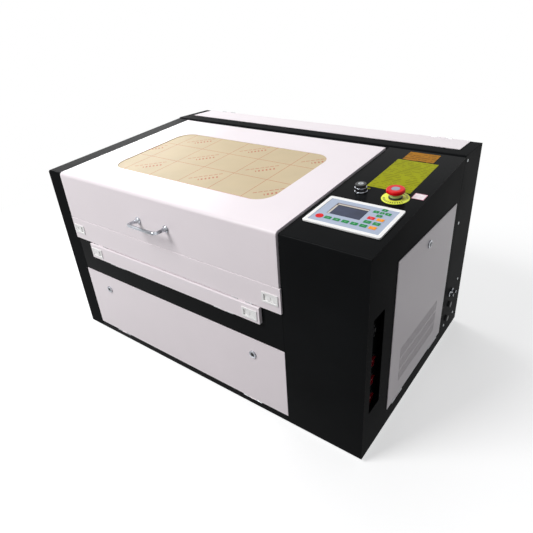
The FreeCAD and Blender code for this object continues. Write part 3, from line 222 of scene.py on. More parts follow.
def film_material(tint, square):
    """Kraft masking paper on cast acrylic: fibres, a thin printed grid, and dashes in every other square."""
    material, tree, place = blank("kraft_masking_paper")
    fibres = put(tree, "ShaderNodeTexNoise", {
        "Vector": put(tree, "ShaderNodeMapping", {"Vector": place, "Scale": (1, 5, 5)}).outputs["Vector"],
        "Scale": 900, "Detail": 3})
    paper = tones(tree, place, tint, 0.035, 0.09)
    lines, counts, offsets = [], [], []
    for name, start, pitch in zip("XY", GRID_START, (square, square * GRID_DEEP)):
        value = axis_of(tree, place, name)
        lines.append(stripe(tree, value, start, pitch, GRID_LINE))
        counts.append(maths(
            tree, "FLOOR", maths(tree, "DIVIDE", maths(tree, "SUBTRACT", value, start), pitch)))
        offsets.append(off_centre(tree, value, start, pitch))
    inked = over(tree, paper, maths(tree, "MAXIMUM", *lines), 0.9, "#B8664E")
    odd = maths(tree, "GREATER_THAN", maths(tree, "ABSOLUTE", maths(
        tree, "MODULO", maths(tree, "ADD", *counts), 2.0)), 0.5)
    aside, ahead = offsets
    run, rise = MARK_LEAN
    along = maths(tree, "ADD", maths(tree, "MULTIPLY", aside, run), maths(tree, "MULTIPLY", ahead, rise))
    across = maths(
        tree, "SUBTRACT", maths(tree, "MULTIPLY", ahead, run), maths(tree, "MULTIPLY", aside, rise))
    for level, thick, low, high, pitch, dash, amount in MARK_ROWS:
        row_ink = maths(
            tree, "MULTIPLY", within(tree, across, level - thick / 2, level + thick / 2),
            maths(tree, "MULTIPLY", within(tree, along, low, high), stripe(tree, along, 0.0, pitch, dash)))
        inked = over(tree, inked, maths(tree, "MULTIPLY", row_ink, odd), amount, "#B8443A")
    bump = put(tree, "ShaderNodeBump", {
        "Height": fibres.outputs["Fac"], "Distance": 0.00006, "Strength": 1.0})
    shader = put(tree, "ShaderNodeBsdfPrincipled", {
        "Base Color": inked, "Roughness": 0.55, "Normal": bump.outputs["Normal"], "Specular IOR Level": 0.2})
    return close(material, tree, shader)


def label_material(name, code, ink, pitch, width, amount):
    """Printed vinyl: one colour with plain ruled lines along X, broken into lengths."""
    material, tree, place = blank(name)
    y = axis_of(tree, place, "Y")
    lines = stripe(tree, y, 0.0, pitch, width)
    gaps = put(tree, "ShaderNodeTexNoise", {
        "Vector": put(tree, "ShaderNodeMapping", {"Vector": place, "Scale": (1, 0.6, 0.6)}).outputs["Vector"],
        "Scale": 95, "Detail": 1})
    mark = maths(tree, "MULTIPLY", lines, maths(tree, "GREATER_THAN", gaps.outputs["Fac"], 0.47))
    base = tones(tree, place, linear(code), 0.05, 0.05)
    skin = put(tree, "ShaderNodeTexNoise", {"Vector": place, "Scale": 600, "Detail": 2})
    bump = put(tree, "ShaderNodeBump", {"Height": skin.outputs["Fac"], "Distance": 0.00003, "Strength": 1.0})
    shader = put(tree, "ShaderNodeBsdfPrincipled", {
        "Base Color": over(tree, base, mark, amount, ink), "Roughness": 0.4, "Normal": bump.outputs["Normal"],
        "Specular IOR Level": 0.04})
    return close(material, tree, shader)


def glass_material(name, code, rough, ior=1.47):
    """Clear glass or plastic with a slight tint."""
    material, tree, place = blank(name)
    wave = put(tree, "ShaderNodeTexNoise", {"Vector": place, "Scale": 60, "Detail": 1})
    bump = put(tree, "ShaderNodeBump", {"Height": wave.outputs["Fac"], "Distance": 0.00005, "Strength": 1.0})
    shader = put(tree, "ShaderNodeBsdfPrincipled", {
        "Base Color": linear(code), "Roughness": rough, "IOR": ior, "Transmission Weight": 0.95,
        "Normal": bump.outputs["Normal"]})
    return close(material, tree, shader)


def make_materials():
    """Every finish of the machine, by a short name."""
    sizes, colours = bpy.context.scene.cutter_sizes, bpy.context.scene.cutter_colours
    black, white = tuple(colours.black), tuple(colours.white)
    return {
        # polyester powder coat, gloss black: a faint ripple that breaks up the reflections
        "black": surface("gloss_black_powder_coat", black, 0.2, sizes.peel, 0.00002, spread=0.12,
                         specular=0.016),
        # the same coat on the upright sides, where it is flatter: hardly any sheen along the sheet
        "black_side": surface("satin_black_powder_coat", black, 0.38, sizes.peel, 0.00002, spread=0.12,
                              specular=0.004),
        # the same coat in white, a little less glossy
        "white": surface("white_powder_coat", white, 0.33, sizes.peel, 0.000022, spread=0.012, specular=0.35),
        # zinc-plated steel: pale grey, faint spangle
        "zinc": surface("zinc_plated_steel", linear("#A9ACAE"), 0.36, 0.004, 0.00001, metal=1.0, spread=0.1,
                        patch=0.02),
        # polished chrome plate, with painted reflections: broad dark and light streaks along each piece stand
        # for the room mirrored in it
        "chrome": surface("polished_chrome_painted_reflections", linear("#A4A7AD"), 0.12, 0.01, 0.000004, metal=1.0, spread=0.75,
                          patch=0.007, stretch=(0.15, 1, 1)),
        # clear anodised aluminium, drawn along X
        "aluminium": surface("anodised_aluminium", linear("#C3C5C7"), 0.32, 0.0009, 0.000006, metal=1.0,
                             stretch=(0.04, 1, 1), spread=0.03),
        # glossy white ABS moulding
        "white_abs": surface("white_abs", linear("#F6F5F4"), 0.3, 0.0012, 0.000006, spread=0.01),
        # black ABS with a fine spark-eroded texture
        "black_abs": surface("black_abs", linear("#17181A"), 0.45, 0.0006, 0.00001, spread=0.1),
        "keypad": surface("polyester_keypad_film", tuple(colours.keypad), 0.4, 0.0005, 0.000008, spread=0.03,
                          patch=0.05),
        "green": surface("green_keys", linear("#0C8440"), 0.45, 0.0005, 0.000006, specular=0.15),
        "red": surface("red_keys", linear("#E0000C"), 0.45, 0.0005, 0.000006, specular=0.15),
        "orange": surface("orange_keys", linear("#FF9A0E"), 0.45, 0.0005, 0.000006, specular=0.15),
        "ink": surface("white_ink", linear("#A9C9B4"), 0.5, 0.0005, 0.000004),
        "black_ink": surface("black_ink", linear("#1A1A1A"), 0.5, 0.0005, 0.000004),
        "screen": surface("display_screen", linear("#3A4055"), 0.4, 0.0008, 0.000002, spread=0.2, patch=0.03,
                          specular=0.12),
        "screen_border": surface("display_border", linear("#191C26"), 0.35, 0.0008, 0.000002, specular=0.15),
        "rim": surface("display_rim", linear("#8E7B78"), 0.5, 0.0008, 0.000003, specular=0.2),
        "step": surface("display_step", linear("#CFC8BE"), 0.5, 0.0008, 0.000003, specular=0.2),
        "stop_red": surface("red_acetal", tuple(colours.stop), 0.35, 0.0012, 0.000008, spread=0.03,
                            specular=0.2),
        "stop_yellow": surface("yellow_plate", tuple(colours.plate), 0.45, 0.0008, 0.000005, spread=0.02,
                               specular=0.2),
        "pale": surface("pale_green_acetal", linear("#C9DD9B"), 0.35, 0.0012, 0.000006, spread=0.03),
        "disc": surface("grey_cap_disc", linear("#939BAC"), 0.3, 0.0012, 0.000005, spread=0.04),
        "rocker": surface("red_rocker", linear("#8C1420"), 0.25, 0.0012, 0.000005, coat=0.4),
        "rubber": surface("black_rubber", linear("#1B1B1B"), 0.75, 0.0015, 0.00004, spread=0.12),
        "belt": surface("neoprene_belt", linear("#202122"), 0.7, 0.0008, 0.00002),
        "board": surface("green_circuit_board", linear("#1D5A3A"), 0.4, 0.001, 0.00001),
        "film": film_material(tuple(colours.film), sizes.window_square),
        "label": label_material("yellow_vinyl_label", "#9C9E00", "#3C4000", 0.0085, 0.0022, 0.6),
        "orange_label": label_material("orange_vinyl_label", "#A8700C", "#1E1404", 0.0105, 0.003, 0.75),
        "white_label": label_material("white_vinyl_label", "#F6EFF1", "#D9A5B2", 0.006, 0.0014, 0.6),
        "pink": surface("pink_vinyl", linear("#E39AAE"), 0.4, 0.0008, 0.000005),
        "glass": glass_material("borosilicate_glass", "#F2F7F7", 0.03),
    }


FINISH = {}


# ---------------------------------------------------------------- shapes

# height of the deck's front edge
DECK_FRONT = 0.520


def deck_matrix():
    """The sloping deck's own frame: X across, Y back along the slope, Z square to it."""
    low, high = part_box("control_deck")
    slope = math.atan2(high.z - DECK_FRONT, high.y - low.y)
    return Matrix.Translation((0, low.y, DECK_FRONT)) @ Matrix.Rotation(slope, 4, "X")


DECK = deck_matrix()
DECK_COS = math.cos(DECK.to_euler().x)


def on_deck(x, distance, lift=0.0):
    """A frame standing square on the deck at a place."""
    return DECK @ Matrix.Translation((x, distance / DECK_COS, lift))


def grown(bm, make, **settings):
    """Run one of bmesh's create operators and return its new vertices."""
    return make(bm, **settings)["verts"]


def plate(bm, low, high, corner=0.0, edge=0.0, matrix=Matrix.Identity(4), segments=4):
    """A flat block between two corners, its upright edges rounded by corner, its top rim by edge."""
    low, high = Vector(low), Vector(high)
    verts = grown(bm, bmesh.ops.create_cube, size=1.0)
    middle, span = (low + high) / 2, high - low
    bmesh.ops.scale(bm, vec=span, verts=verts)
    bmesh.ops.translate(bm, vec=middle, verts=verts)
    if corner:
        upright = [e for e in {e for v in verts for e in v.link_edges}
                   if abs(e.verts[0].co.z - e.verts[1].co.z) > span.z / 2]
        done = bmesh.ops.bevel(
            bm, geom=upright, offset=corner, offset_type="OFFSET", affect="EDGES", segments=segments,
            profile=0.5, material=-1, clamp_overlap=True)
        verts = list({v for f in done["faces"] for v in f.verts} | {v for v in verts if v.is_valid})
    if edge:
        top = [e for e in {e for v in verts for e in v.link_edges}
               if all(abs(v.co.z - high.z) < 1e-7 for v in e.verts)]
        done = bmesh.ops.bevel(
            bm, geom=top, offset=edge, offset_type="OFFSET", affect="EDGES", segments=3, profile=0.5,
            material=-1, clamp_overlap=True)
        verts = list({v for f in done["faces"] for v in f.verts} | {v for v in verts if v.is_valid})
    bmesh.ops.transform(bm, matrix=matrix, verts=verts)
    return verts


def turned(bm, profile, matrix=Matrix.Identity(4), steps=None):
    """A piece turned about Z from pairs of radius and height."""
    steps = steps or bpy.context.scene.cutter_sizes.steps
    verts = [bm.verts.new((radius, 0, height)) for radius, height in profile]
    edges = [bm.edges.new(pair) for pair in zip(verts, verts[1:])]
    done = bmesh.ops.spin(
        bm, geom=verts + edges, cent=(0, 0, 0), axis=(0, 0, 1), angle=math.tau, steps=steps, use_merge=True)
    ring = {
        vert for item in done["geom_last"]
        for vert in ([item] if isinstance(item, bmesh.types.BMVert) else item.verts)}
    made = set(verts) | ring
    grow = set(made)
    while grow:
        near = {e.other_vert(v) for v in grow for e in v.link_edges} - made
        made |= near
        grow = near
    bmesh.ops.remove_doubles(bm, verts=list(made), dist=1e-7)
    made = {v for v in made if v.is_valid}
    bmesh.ops.transform(bm, matrix=matrix, verts=list(made))
    return list(made)


def rounded_profile(points, radius, steps=5):
    """A turning profile whose corners are rounded by a radius where the runs are long enough."""
    result = [points[0]]
    for before, corner, after in zip(points, points[1:], points[2:]):
        here, back, ahead = Vector(corner), Vector(before) - Vector(corner), Vector(after) - Vector(corner)
        reach = min(radius, back.length * 0.45, ahead.length * 0.45)
        start, end = here + back.normalized() * reach, here + ahead.normalized() * reach
        for step in range(steps + 1):
            t = step / steps
            result.append(tuple(start * (1 - t) ** 2 + here * 2 * t * (1 - t) + end * t ** 2))
    result.append(points[-1])
    return result


def finish_piece(name, bm, body, finish, replaces=()):
    """Close a mesh, give it its finish and let it ride on its body."""
    bmesh.ops.recalc_face_normals(bm, faces=bm.faces)
    for edge in bm.edges:
        edge.smooth = edge.calc_face_angle(0) < SHARP
    for face in bm.faces:
        face.smooth = True
    mesh = bpy.data.meshes.new(name)
    bm.to_mesh(mesh)
    bm.free()
    piece = bpy.data.objects.new(name, mesh)
    bpy.context.scene.collection.objects.link(piece)
    mesh.materials.append(FINISH[finish])
    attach(piece, body)
    if replaces:
        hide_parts(*replaces)
    return piece


def softened(node, finish, edge=None, segments=2):
    """A node's shape with its sharp edges broken, to stand for the node."""
    width = edge or bpy.context.scene.cutter_sizes.edge
    bm = bmesh.new()
    bm.from_mesh(NODES[node].data)
    bmesh.ops.remove_doubles(bm, verts=bm.verts, dist=1e-6)
    bmesh.ops.dissolve_limit(
        bm, angle_limit=math.radians(0.4), use_dissolve_boundaries=False, verts=bm.verts, edges=bm.edges)
    piece = finish_piece(
        node + "_finish", bm, BODY_OF[node], finish, replaces=(node,))
    soften = piece.modifiers.new("broken edges", "BEVEL")
    soften.limit_method = "ANGLE"
    soften.angle_limit = SHARP
    soften.width = width
    soften.segments = segments
    soften.profile = 0.5
    soften.use_clamp_overlap = True
    soften.harden_normals = True
    return piece


BODY_OF = {node: body for body, members in frame["record"]["behaviour"]["bodies"].items() for node in members}


def paint(node, finish):
    """Give a node of the frame its finish."""
    mesh = NODES[node].data
    for index in range(len(mesh.materials)):
        mesh.materials[index] = FINISH[finish]
    if not mesh.materials:
        mesh.materials.append(FINISH[finish])


# ---------------------------------------------------------------- operators

class CUTTER_OT_stage(bpy.types.Operator):
    """Floor, soft studio light, sky and camera."""
    bl_idname = "cutter.stage"
    bl_label = "Stage"

    # name, place, side and power of each soft box
    lamps = (
        ("key", (-1.3, -2.4, 3.0), 1.6, 108), ("top", (-0.6, 0.9, 3.2), 1.6, 20),
        ("left", (-2.7, 1.2, 1.25), 1.3, 38))
    # the camera's focal length and shift, its place, and its pan, tilt and roll in degrees
    lens, shift = 31.39, (-0.0600, -0.0090)
    stand, pan, tilt, roll = (0.7997, -0.955, 0.9038), 35.46, 61.05, -2.03

    def execute(self, context):
        scene = context.scene
        scene.view_settings.view_transform = "Standard"
        self.floor()
        self.sky(scene)
        for lamp in self.lamps:
            self.lamp(scene, *lamp)
        self.camera(scene)
        return {"FINISHED"}

    def floor(self):
        """A wide flat floor under the feet."""
        bm = bmesh.new()
        bmesh.ops.create_grid(bm, x_segments=1, y_segments=1, size=30)
        mesh = bpy.data.meshes.new("floor")
        bm.to_mesh(mesh)
        bm.free()
        floor = bpy.data.objects.new("floor", mesh)
        bpy.context.scene.collection.objects.link(floor)
        mesh.materials.append(self.floor_material())

    def camera(self, scene):
        """The camera, at the front and right, a little above the lid."""
        data = bpy.data.cameras.new("camera")
        camera = bpy.data.objects.new("camera", data)
        scene.collection.objects.link(camera)
        data.lens, data.sensor_width = self.lens, 36
        data.shift_x, data.shift_y = self.shift
        turn = Matrix.Identity(4)
        for angle, axis in ((self.pan, "Z"), (self.tilt, "X"), (self.roll, "Z")):
            turn = turn @ Matrix.Rotation(math.radians(angle), 4, axis)
        camera.matrix_world = Matrix.Translation(self.stand) @ turn
        scene.camera = camera

    def floor_material(self):
        """A pale floor that reads as white to the camera and keeps the soft shadow."""
        material, tree, place = blank("pale_floor")
        grain = tones(tree, place, (0.28, 0.28, 0.28, 1), 0.01, 2.0)
        shade = put(tree, "ShaderNodeBsdfDiffuse", {"Color": grain})
        pale = put(tree, "ShaderNodeBsdfDiffuse", {"Color": (0.62, 0.62, 0.62, 1)})
        glow = put(tree, "ShaderNodeEmission", {"Color": (1, 1, 1, 1), "Strength": 0.55})
        lit = put(tree, "ShaderNodeAddShader", {0: pale.outputs[0], 1: glow.outputs[0]})
        white = put(tree, "ShaderNodeEmission", {"Color": (1, 1, 1, 1), "Strength": 1.0})
        out = put(tree, "ShaderNodeVectorMath", {0: place}, operation="LENGTH").outputs["Value"]
        far = put(tree, "ShaderNodeMapRange", {
            "Value": out, "From Min": 0.9, "From Max": 1.8}).outputs["Result"]
        shown = put(tree, "ShaderNodeMixShader", {0: far, 1: lit.outputs[0], 2: white.outputs[0]})
        path = put(tree, "ShaderNodeLightPath")
        seen = maths(tree, "MAXIMUM", path.outputs["Is Camera Ray"], maths(
            tree, "MAXIMUM", path.outputs["Is Glossy Ray"], path.outputs["Is Transmission Ray"]))
        mix = put(tree, "ShaderNodeMixShader", {0: seen, 1: shade.outputs[0], 2: shown.outputs[0]})
        put(tree, "ShaderNodeOutputMaterial", {"Surface": mix.outputs[0]})
        return material

    def sky(self, scene):
        """An even pale surround: white to the camera and in reflections, softer as light."""
        world = bpy.data.worlds.new("studio")
        scene.world = world
        world.use_nodes = True
        tree = world.node_tree
        tree.nodes.clear()
        path = put(tree, "ShaderNodeLightPath")
        seen = maths(tree, "MAXIMUM", path.outputs["Is Camera Ray"], maths(
            tree, "MAXIMUM", path.outputs["Is Glossy Ray"], path.outputs["Is Transmission Ray"]))
        soft = put(tree, "ShaderNodeBackground", {"Color": (0.95, 0.97, 1.0, 1), "Strength": 0.26})
        white = put(tree, "ShaderNodeBackground", {"Color": (1, 1, 1, 1), "Strength": 1.0})
        mix = put(tree, "ShaderNodeMixShader", {0: seen, 1: soft.outputs[0], 2: white.outputs[0]})
        put(tree, "ShaderNodeOutputWorld", {"Surface": mix.outputs[0]})

    def lamp(self, scene, name, place, size, power):
        """A square soft box aimed at the machine."""
        data = bpy.data.lights.new(name, "AREA")
        data.shape, data.size, data.energy = "SQUARE", size, power
        lamp = bpy.data.objects.new(name, data)
        scene.collection.objects.link(lamp)
        aim = Vector((0, 0, 0.35)) - Vector(place)
        lamp.matrix_world = Matrix.Translation(place) @ aim.to_track_quat("-Z", "Y").to_matrix().to_4x4()


class CUTTER_OT_cabinet(bpy.types.Operator):
    """Sheet-metal shell: margins, front, deck, sides, rear and the panels inside."""
    bl_idname = "cutter.cabinet"
    bl_label = "Cabinet"

    def execute(self, context):
        for node in ("front_frame", "control_deck"):
            softened(node, "black")
        for node in (
                "left_panel", "right_panel", "rear_cover", "rear_panel", "rear_bulkhead", "connector_recess"):
            softened(node, "black_side")
        for node in ("base_plate", "bay_divider", "fixed_hinges"):
            paint(node, "zinc")
        softened("exhaust_spigot", "zinc", edge=0.0005)
        return {"FINISHED"}


class CUTTER_OT_covers(bpy.types.Operator):
    """White lid, flaps, service panel, side door and rear lid."""
    bl_idname = "cutter.covers"
    bl_label = "Lid, flaps and doors"

    def execute(self, context):
        for node in ("lid_shell", "upper_flap", "lower_flap", "front_access_panel", "side_door", "rear_lid"):
            softened(node, "white")
        paint("lid_window", "film")
        return {"FINISHED"}


class CUTTER_OT_handle(bpy.types.Operator):
    """Chrome bow handle with its rosettes."""
    bl_idname = "cutter.handle"
    bl_label = "Lid handle"

    def execute(self, context):
        low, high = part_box("lid_handle")
        rosette, bar, bend = 0.009, 0.0041, 0.010
        middle_z = (low[2] + high[2]) / 2
        feet = (low[0] + rosette, high[0] - rosette)
        face, reach = high[1], low[1] + bar
        bm = bmesh.new()
        forward = Matrix.Rotation(math.radians(90), 4, "X")
        for x in feet:
            turned(bm, rounded_profile(
                [(0, 0), (rosette, 0), (rosette, 0.0022), (0.0062, 0.0036), (0.0046, 0.0105), (bar, 0.0125),
                 (0, 0.0125)], 0.0008), Matrix.Translation((x, face, middle_z)) @ forward)
        path = [(feet[0], face - 0.011)]
        for start, turn in ((feet[0] + bend, 0), (feet[1] - bend, 1)):
            for step in range(9):
                angle = math.pi / 2 * step / 8
                if turn == 0:
                    path.append((start - bend * math.cos(angle), reach + bend - bend * math.sin(angle)))
                else:
                    path.append((start + bend * math.sin(angle), reach + bend - bend * math.cos(angle)))
        path.append((feet[1], face - 0.011))
        self.tube(bm, [Vector((x, y, middle_z)) for x, y in path], bar)
        finish_piece("bow_handle", bm, "lid", "chrome", replaces=("lid_handle",))
        return {"FINISHED"}

    def tube(self, bm, path, radius):
        """A round bar swept along a flat path by extruding its end ring."""
        steps = 24
        ends = bmesh.ops.create_circle(bm, cap_ends=False, radius=radius, segments=steps)["verts"]
        bmesh.ops.rotate(bm, verts=ends, cent=(0, 0, 0), matrix=Matrix.Rotation(math.radians(90), 3, "X"))
        bmesh.ops.translate(bm, verts=ends, vec=path[0])
        heading = Vector((0, -1, 0))
        ring = list({e for v in ends for e in v.link_edges})
        for before, here, after in zip(path, path[1:], path[2:] + [path[-1] + (path[-1] - path[-2])]):
            out = bmesh.ops.extrude_edge_only(bm, edges=ring)["geom"]
            verts = [g for g in out if isinstance(g, bmesh.types.BMVert)]
            ring = [g for g in out if isinstance(g, bmesh.types.BMEdge)]
            bmesh.ops.translate(bm, verts=verts, vec=here - before)
            turn = heading.rotation_difference((after - before).normalized())
            bmesh.ops.rotate(bm, verts=verts, cent=here, matrix=turn.to_matrix())
            heading = (after - before).normalized()
        bmesh.ops.contextual_create(bm, geom=ring)


class CUTTER_OT_latches(bpy.types.Operator):
    """Slide latches of the two flaps."""
    bl_idname = "cutter.latches"
    bl_label = "Flap latches"

    travel, past, clear, sheet = 0.009, 0.001, 0.0001, 0.0004

    def execute(self, context):
        for flap in ("upper_flap", "lower_flap"):
            softened(flap + "_latch_frames", "white_abs", edge=0.0008, segments=3)
            for side in ("left", "right"):
                softened(f"{flap}_slider_{side}", "white_abs", edge=0.0004)
            self.floors(flap)
        return {"FINISHED"}

    def floors(self, flap):
        """Thin floors of the two wells, just behind the sliders and as long as they travel."""
        bm = bmesh.new()
        for side in ("left", "right"):
            low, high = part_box(f"{flap}_slider_{side}")
            inward = (0, self.travel) if side == "left" else (-self.travel, 0)
            back = high[1] + self.clear
            plate(bm, (low[0] + inward[0] - self.past, back, low[2] - self.past),
                  (high[0] + inward[1] + self.past, back + self.sheet, high[2] + self.past))
        finish_piece(flap + "_well_floors", bm, BODY_OF[flap], "white_abs")


class CUTTER_OT_locks(bpy.types.Operator):
    """Cam locks of the service panel and the side door."""
    bl_idname = "cutter.locks"
    bl_label = "Cam locks"

    def execute(self, context):
        for node in ("access_lock_barrels", "side_lock_barrel"):
            softened(node, "chrome", edge=0.0008, segments=3)
        for node in ("access_lock_core_left", "access_lock_core_right", "side_lock_core"):
            softened(node, "black_abs", edge=0.0003)
        return {"FINISHED"}


class CUTTER_OT_panel(bpy.types.Operator):
    """Control panel: bezel, keypad film, coloured keys with their marks, and the display."""
    bl_idname = "cutter.panel"
    bl_label = "Control panel"

    # the panel's left front corner on the deck, and the height of its face
    left, front, surface = 0.313, 0.063, 0.003
    # the first key's place and radius, the pitch of the keys across and back, and their sizes
    first, front_row, first_radius, pitch, row = 0.0245, 0.0285, 0.0085, 0.0196, 0.0166
    key, arrow, enter = (0.015, 0.0105), (0.012, 0.0095), (0.009, 0.008)
    arrows, arrow_pitch = (0.133, 0.0887), 0.013
    # heights above the face: a key's foot and top, a mark's top, the display's glass, screen and strips
    key_foot, key_top, mark_top = 0.0005, 0.00062, 0.00068
    glass, screen_top, strip_top = -0.00055, -0.00045, -0.00035

    def execute(self, context):
        softened("panel_bezel", "white_abs", edge=0.0008, segments=4)
        paint("keypad_membrane", "keypad")
        paint("display_glass", "screen_border")
        self.faces(self.key_list())
        self.display()
        return {"FINISHED"}

    def key_list(self):
        """Place, size and finish of every key but the round first one; the arrows come last."""
        spots = [(number, 0, "green") for number in range(1, 6)] + [(6, 0, "orange")]
        spots += [(5, 1, "green"), (6, 1, "green"), (5, 2, "red"), (6, 2, "orange")]
        keys = [
            (self.first + self.pitch * column, self.front_row + self.row * number, *self.key, finish)
            for column, number, finish in spots]
        for across, back in ((-1, 0), (1, 0), (0, -1), (0, 1)):
            keys.append((
                self.arrows[0] + across * self.arrow_pitch, self.arrows[1] + back * self.arrow_pitch,
                *self.arrow, "green"))
        return keys + [(*self.arrows, *self.enter, "green")]

    def faces(self, keys):
        """The keys' coloured faces, one piece for each colour, and the marks on them."""
        for name in ("red", "green", "orange"):
            bm = bmesh.new()
            for x, d, wide, deep, finish in keys:
                if finish == name:
                    self.flat(bm, x, d, wide, deep, self.key_foot, self.key_top, 0.0014)
            if name == "red":
                turned(bm, [
                    (0, self.key_foot), (self.first_radius, self.key_foot), (self.first_radius, self.key_top),
                    (0, self.key_top)], self.spot(self.first, self.front_row))
            finish_piece(f"{name}_key_faces", bm, "cabinet", name)
        bm = bmesh.new()
        for number, key in enumerate(keys):
            self.mark(bm, *key[:2], number)
        finish_piece("key_marks", bm, "cabinet", "ink")

    def display(self):
        """The screen under the display's glass, with the rim and the step of its frame."""
        bm = bmesh.new()
        self.flat(bm, 0.070, 0.0655, 0.068, 0.038, self.glass, self.screen_top, 0.0005)
        finish_piece("display_screen", bm, "cabinet", "screen")
        for name, finish, strips in (
                ("display_rim", "rim", ((0.0675, 0.0926, 0.074, 0.0024), (0.0311, 0.0655, 0.001, 0.048))),
                ("display_step", "step", ((0.0685, 0.0890, 0.071, 0.0042), (0.0338, 0.0655, 0.0042, 0.038)))):
            bm = bmesh.new()
            for x, d, wide, deep in strips:
                self.flat(bm, x, d, wide, deep, self.glass, self.strip_top, 0.0002)
            finish_piece(name, bm, "cabinet", finish)

    def spot(self, x, d, lift=0.0):
        """A frame standing on the panel's face at a place of the panel."""
        return DECK @ Matrix.Translation((self.left + x, (self.front + d) / DECK_COS, self.surface + lift))

    def flat(self, bm, x, d, long, run, low, high, corner):
        """A thin plate on the keypad, centred at a place of the panel."""
        cx, cy = self.left + x, (self.front + d) / DECK_COS
        plate(
            bm, (cx - long / 2, cy - run / 2, self.surface + low),
            (cx + long / 2, cy + run / 2, self.surface + high), corner=corner, matrix=DECK)

    def mark(self, bm, x, d, number):
        """A plain mark on a key: one or two bars, or a small wedge on the arrows and the key between."""
        turns = {10: math.pi / 2, 11: -math.pi / 2, 12: math.pi, 13: 0.0, 14: 0.8}
        if number not in turns:
            self.flat(bm, x, d, 0.0055, 0.0008, self.key_top, self.mark_top, 0.0002)
            if number % 2:
                self.flat(bm, x, d + 0.0022, 0.0035, 0.0007, self.key_top, self.mark_top, 0.0002)
            return
        verts = grown(
            bm, bmesh.ops.create_cone, cap_ends=True, segments=3, radius1=0.0019, radius2=0.0019,
            depth=self.mark_top - self.key_top)
        place = self.spot(x, d, (self.key_top + self.mark_top) / 2)
        upright = Matrix.Rotation(math.pi / 2, 4, "Z")
        bmesh.ops.transform(bm, verts=verts, matrix=place @ Matrix.Rotation(turns[number], 4, "Z") @ upright)


class CUTTER_OT_stop(bpy.types.Operator):
    """Emergency stop: plate, collar and mushroom."""
    bl_idname = "cutter.stop"
    bl_label = "Emergency stop"

    # radii of the stem, its bore, the hole in the deck, the collar, the ring, the plate and the head
    stem, bore, hole, collar, ring, rim, head = 0.005, 0.00505, 0.0112, 0.0125, 0.015, 0.030, 0.0200
    # heights over the deck of the plate, the ring, the collar and the head's underside and top
    plate_top, ring_top, collar_top, under, head_top = 0.0012, 0.0044, 0.0102, 0.0145, 0.0225
    # the stem and the body reach this far below the deck
    stem_foot, body_foot = -0.0107, -0.015

    def execute(self, context):
        place = on_deck(0.439, 0.229)
        self.foot(place)
        self.button(place)
        return {"FINISHED"}

    def foot(self, place):
        """The plate with its two rows of ticks, the ring with the body under the deck, and the collar."""
        bm = bmesh.new()
        turned(bm, rounded_profile(
            [(self.hole, 0), (self.rim, 0), (self.rim, self.plate_top), (self.hole, self.plate_top)], 0.0005)
            + [(self.hole, 0)], place)
        finish_piece("stop_plate", bm, "cabinet", "stop_yellow", replaces=("estop_plate",))
        bm = bmesh.new()
        for start in (0.35, 0.35 + math.pi):
            for number in range(12):
                turn = Matrix.Rotation(start + number * 0.2, 4, "Z")
                plate(
                    bm, (0.0222, -0.0011, self.plate_top), (0.0268, 0.0011, self.plate_top + 0.0001),
                    matrix=place @ turn)
        finish_piece("stop_plate_ticks", bm, "cabinet", "black_ink")
        bm = bmesh.new()
        bevel = (0.0128, self.ring_top)
        turned(bm, rounded_profile(
            [(self.bore, self.plate_top), (self.ring, self.plate_top), (self.ring, 0.0042), bevel], 0.0006)
            + [bevel, (self.bore, self.ring_top), (self.bore, self.plate_top)], place)
        turned(bm, [
            (self.bore, self.body_foot), (self.hole, self.body_foot), (self.hole, self.plate_top),
            (self.bore, self.plate_top), (self.bore, self.body_foot)], place)
        finish_piece("stop_ring", bm, "cabinet", "black_abs", replaces=("estop_collar",))
        bm = bmesh.new()
        turned(bm, rounded_profile(
            [(self.bore, self.ring_top), (self.collar, self.ring_top), (self.collar, self.collar_top),
             (self.bore, self.collar_top)], 0.0008) + [(self.bore, self.ring_top)], place)
        finish_piece("stop_collar", bm, "cabinet", "pale")

    def button(self, place):
        """The mushroom on its stem, and the disc let into its top."""
        low, high = self.under, self.head_top
        bm = bmesh.new()
        turned(bm, [(0, self.stem_foot), (self.stem, self.stem_foot)] + rounded_profile(
            [(self.stem, low), (0.0188, low), (self.head, low + 0.0010), (self.head, high - 0.0018),
             (0.0182, high), (0.0098, high), (0.0094, high - 0.0006), (0, high - 0.0006)],
            0.0014, steps=6), place)
        finish_piece("stop_mushroom", bm, "stop_button", "stop_red", replaces=("estop_mushroom",))
        bm = bmesh.new()
        turned(bm, rounded_profile(
            [(0, high - 0.0007), (0.0092, high - 0.0007), (0.0090, high - 0.0001), (0, high)], 0.0004), place)
        finish_piece("stop_cap_disc", bm, "stop_button", "disc")


class CUTTER_OT_key_switch(bpy.types.Operator):
    """Key switch on the deck."""
    bl_idname = "cutter.key_switch"
    bl_label = "Key switch"

    # radii of the bore, the barrel and its foot; heights of the foot and the barrel over the deck
    bore, barrel, foot, foot_top, barrel_top = 0.008, 0.0136, 0.0145, 0.0030, 0.0118

    def execute(self, context):
        bm = bmesh.new()
        turned(bm, rounded_profile(
            [(self.bore, 0), (self.foot, 0), (self.foot, self.foot_top), (self.barrel, 0.0034),
             (self.barrel, self.barrel_top), (self.bore, self.barrel_top)], 0.0006) + [(self.bore, 0)],
            on_deck(0.358, 0.229))
        finish_piece(
            "key_switch_barrel", bm, "cabinet", "chrome", replaces=("key_switch_bezel",))
        softened("key_switch_head", "black_abs", edge=0.0008, segments=3)
        softened("key_switch_core", "zinc", edge=0.0002)
        return {"FINISHED"}


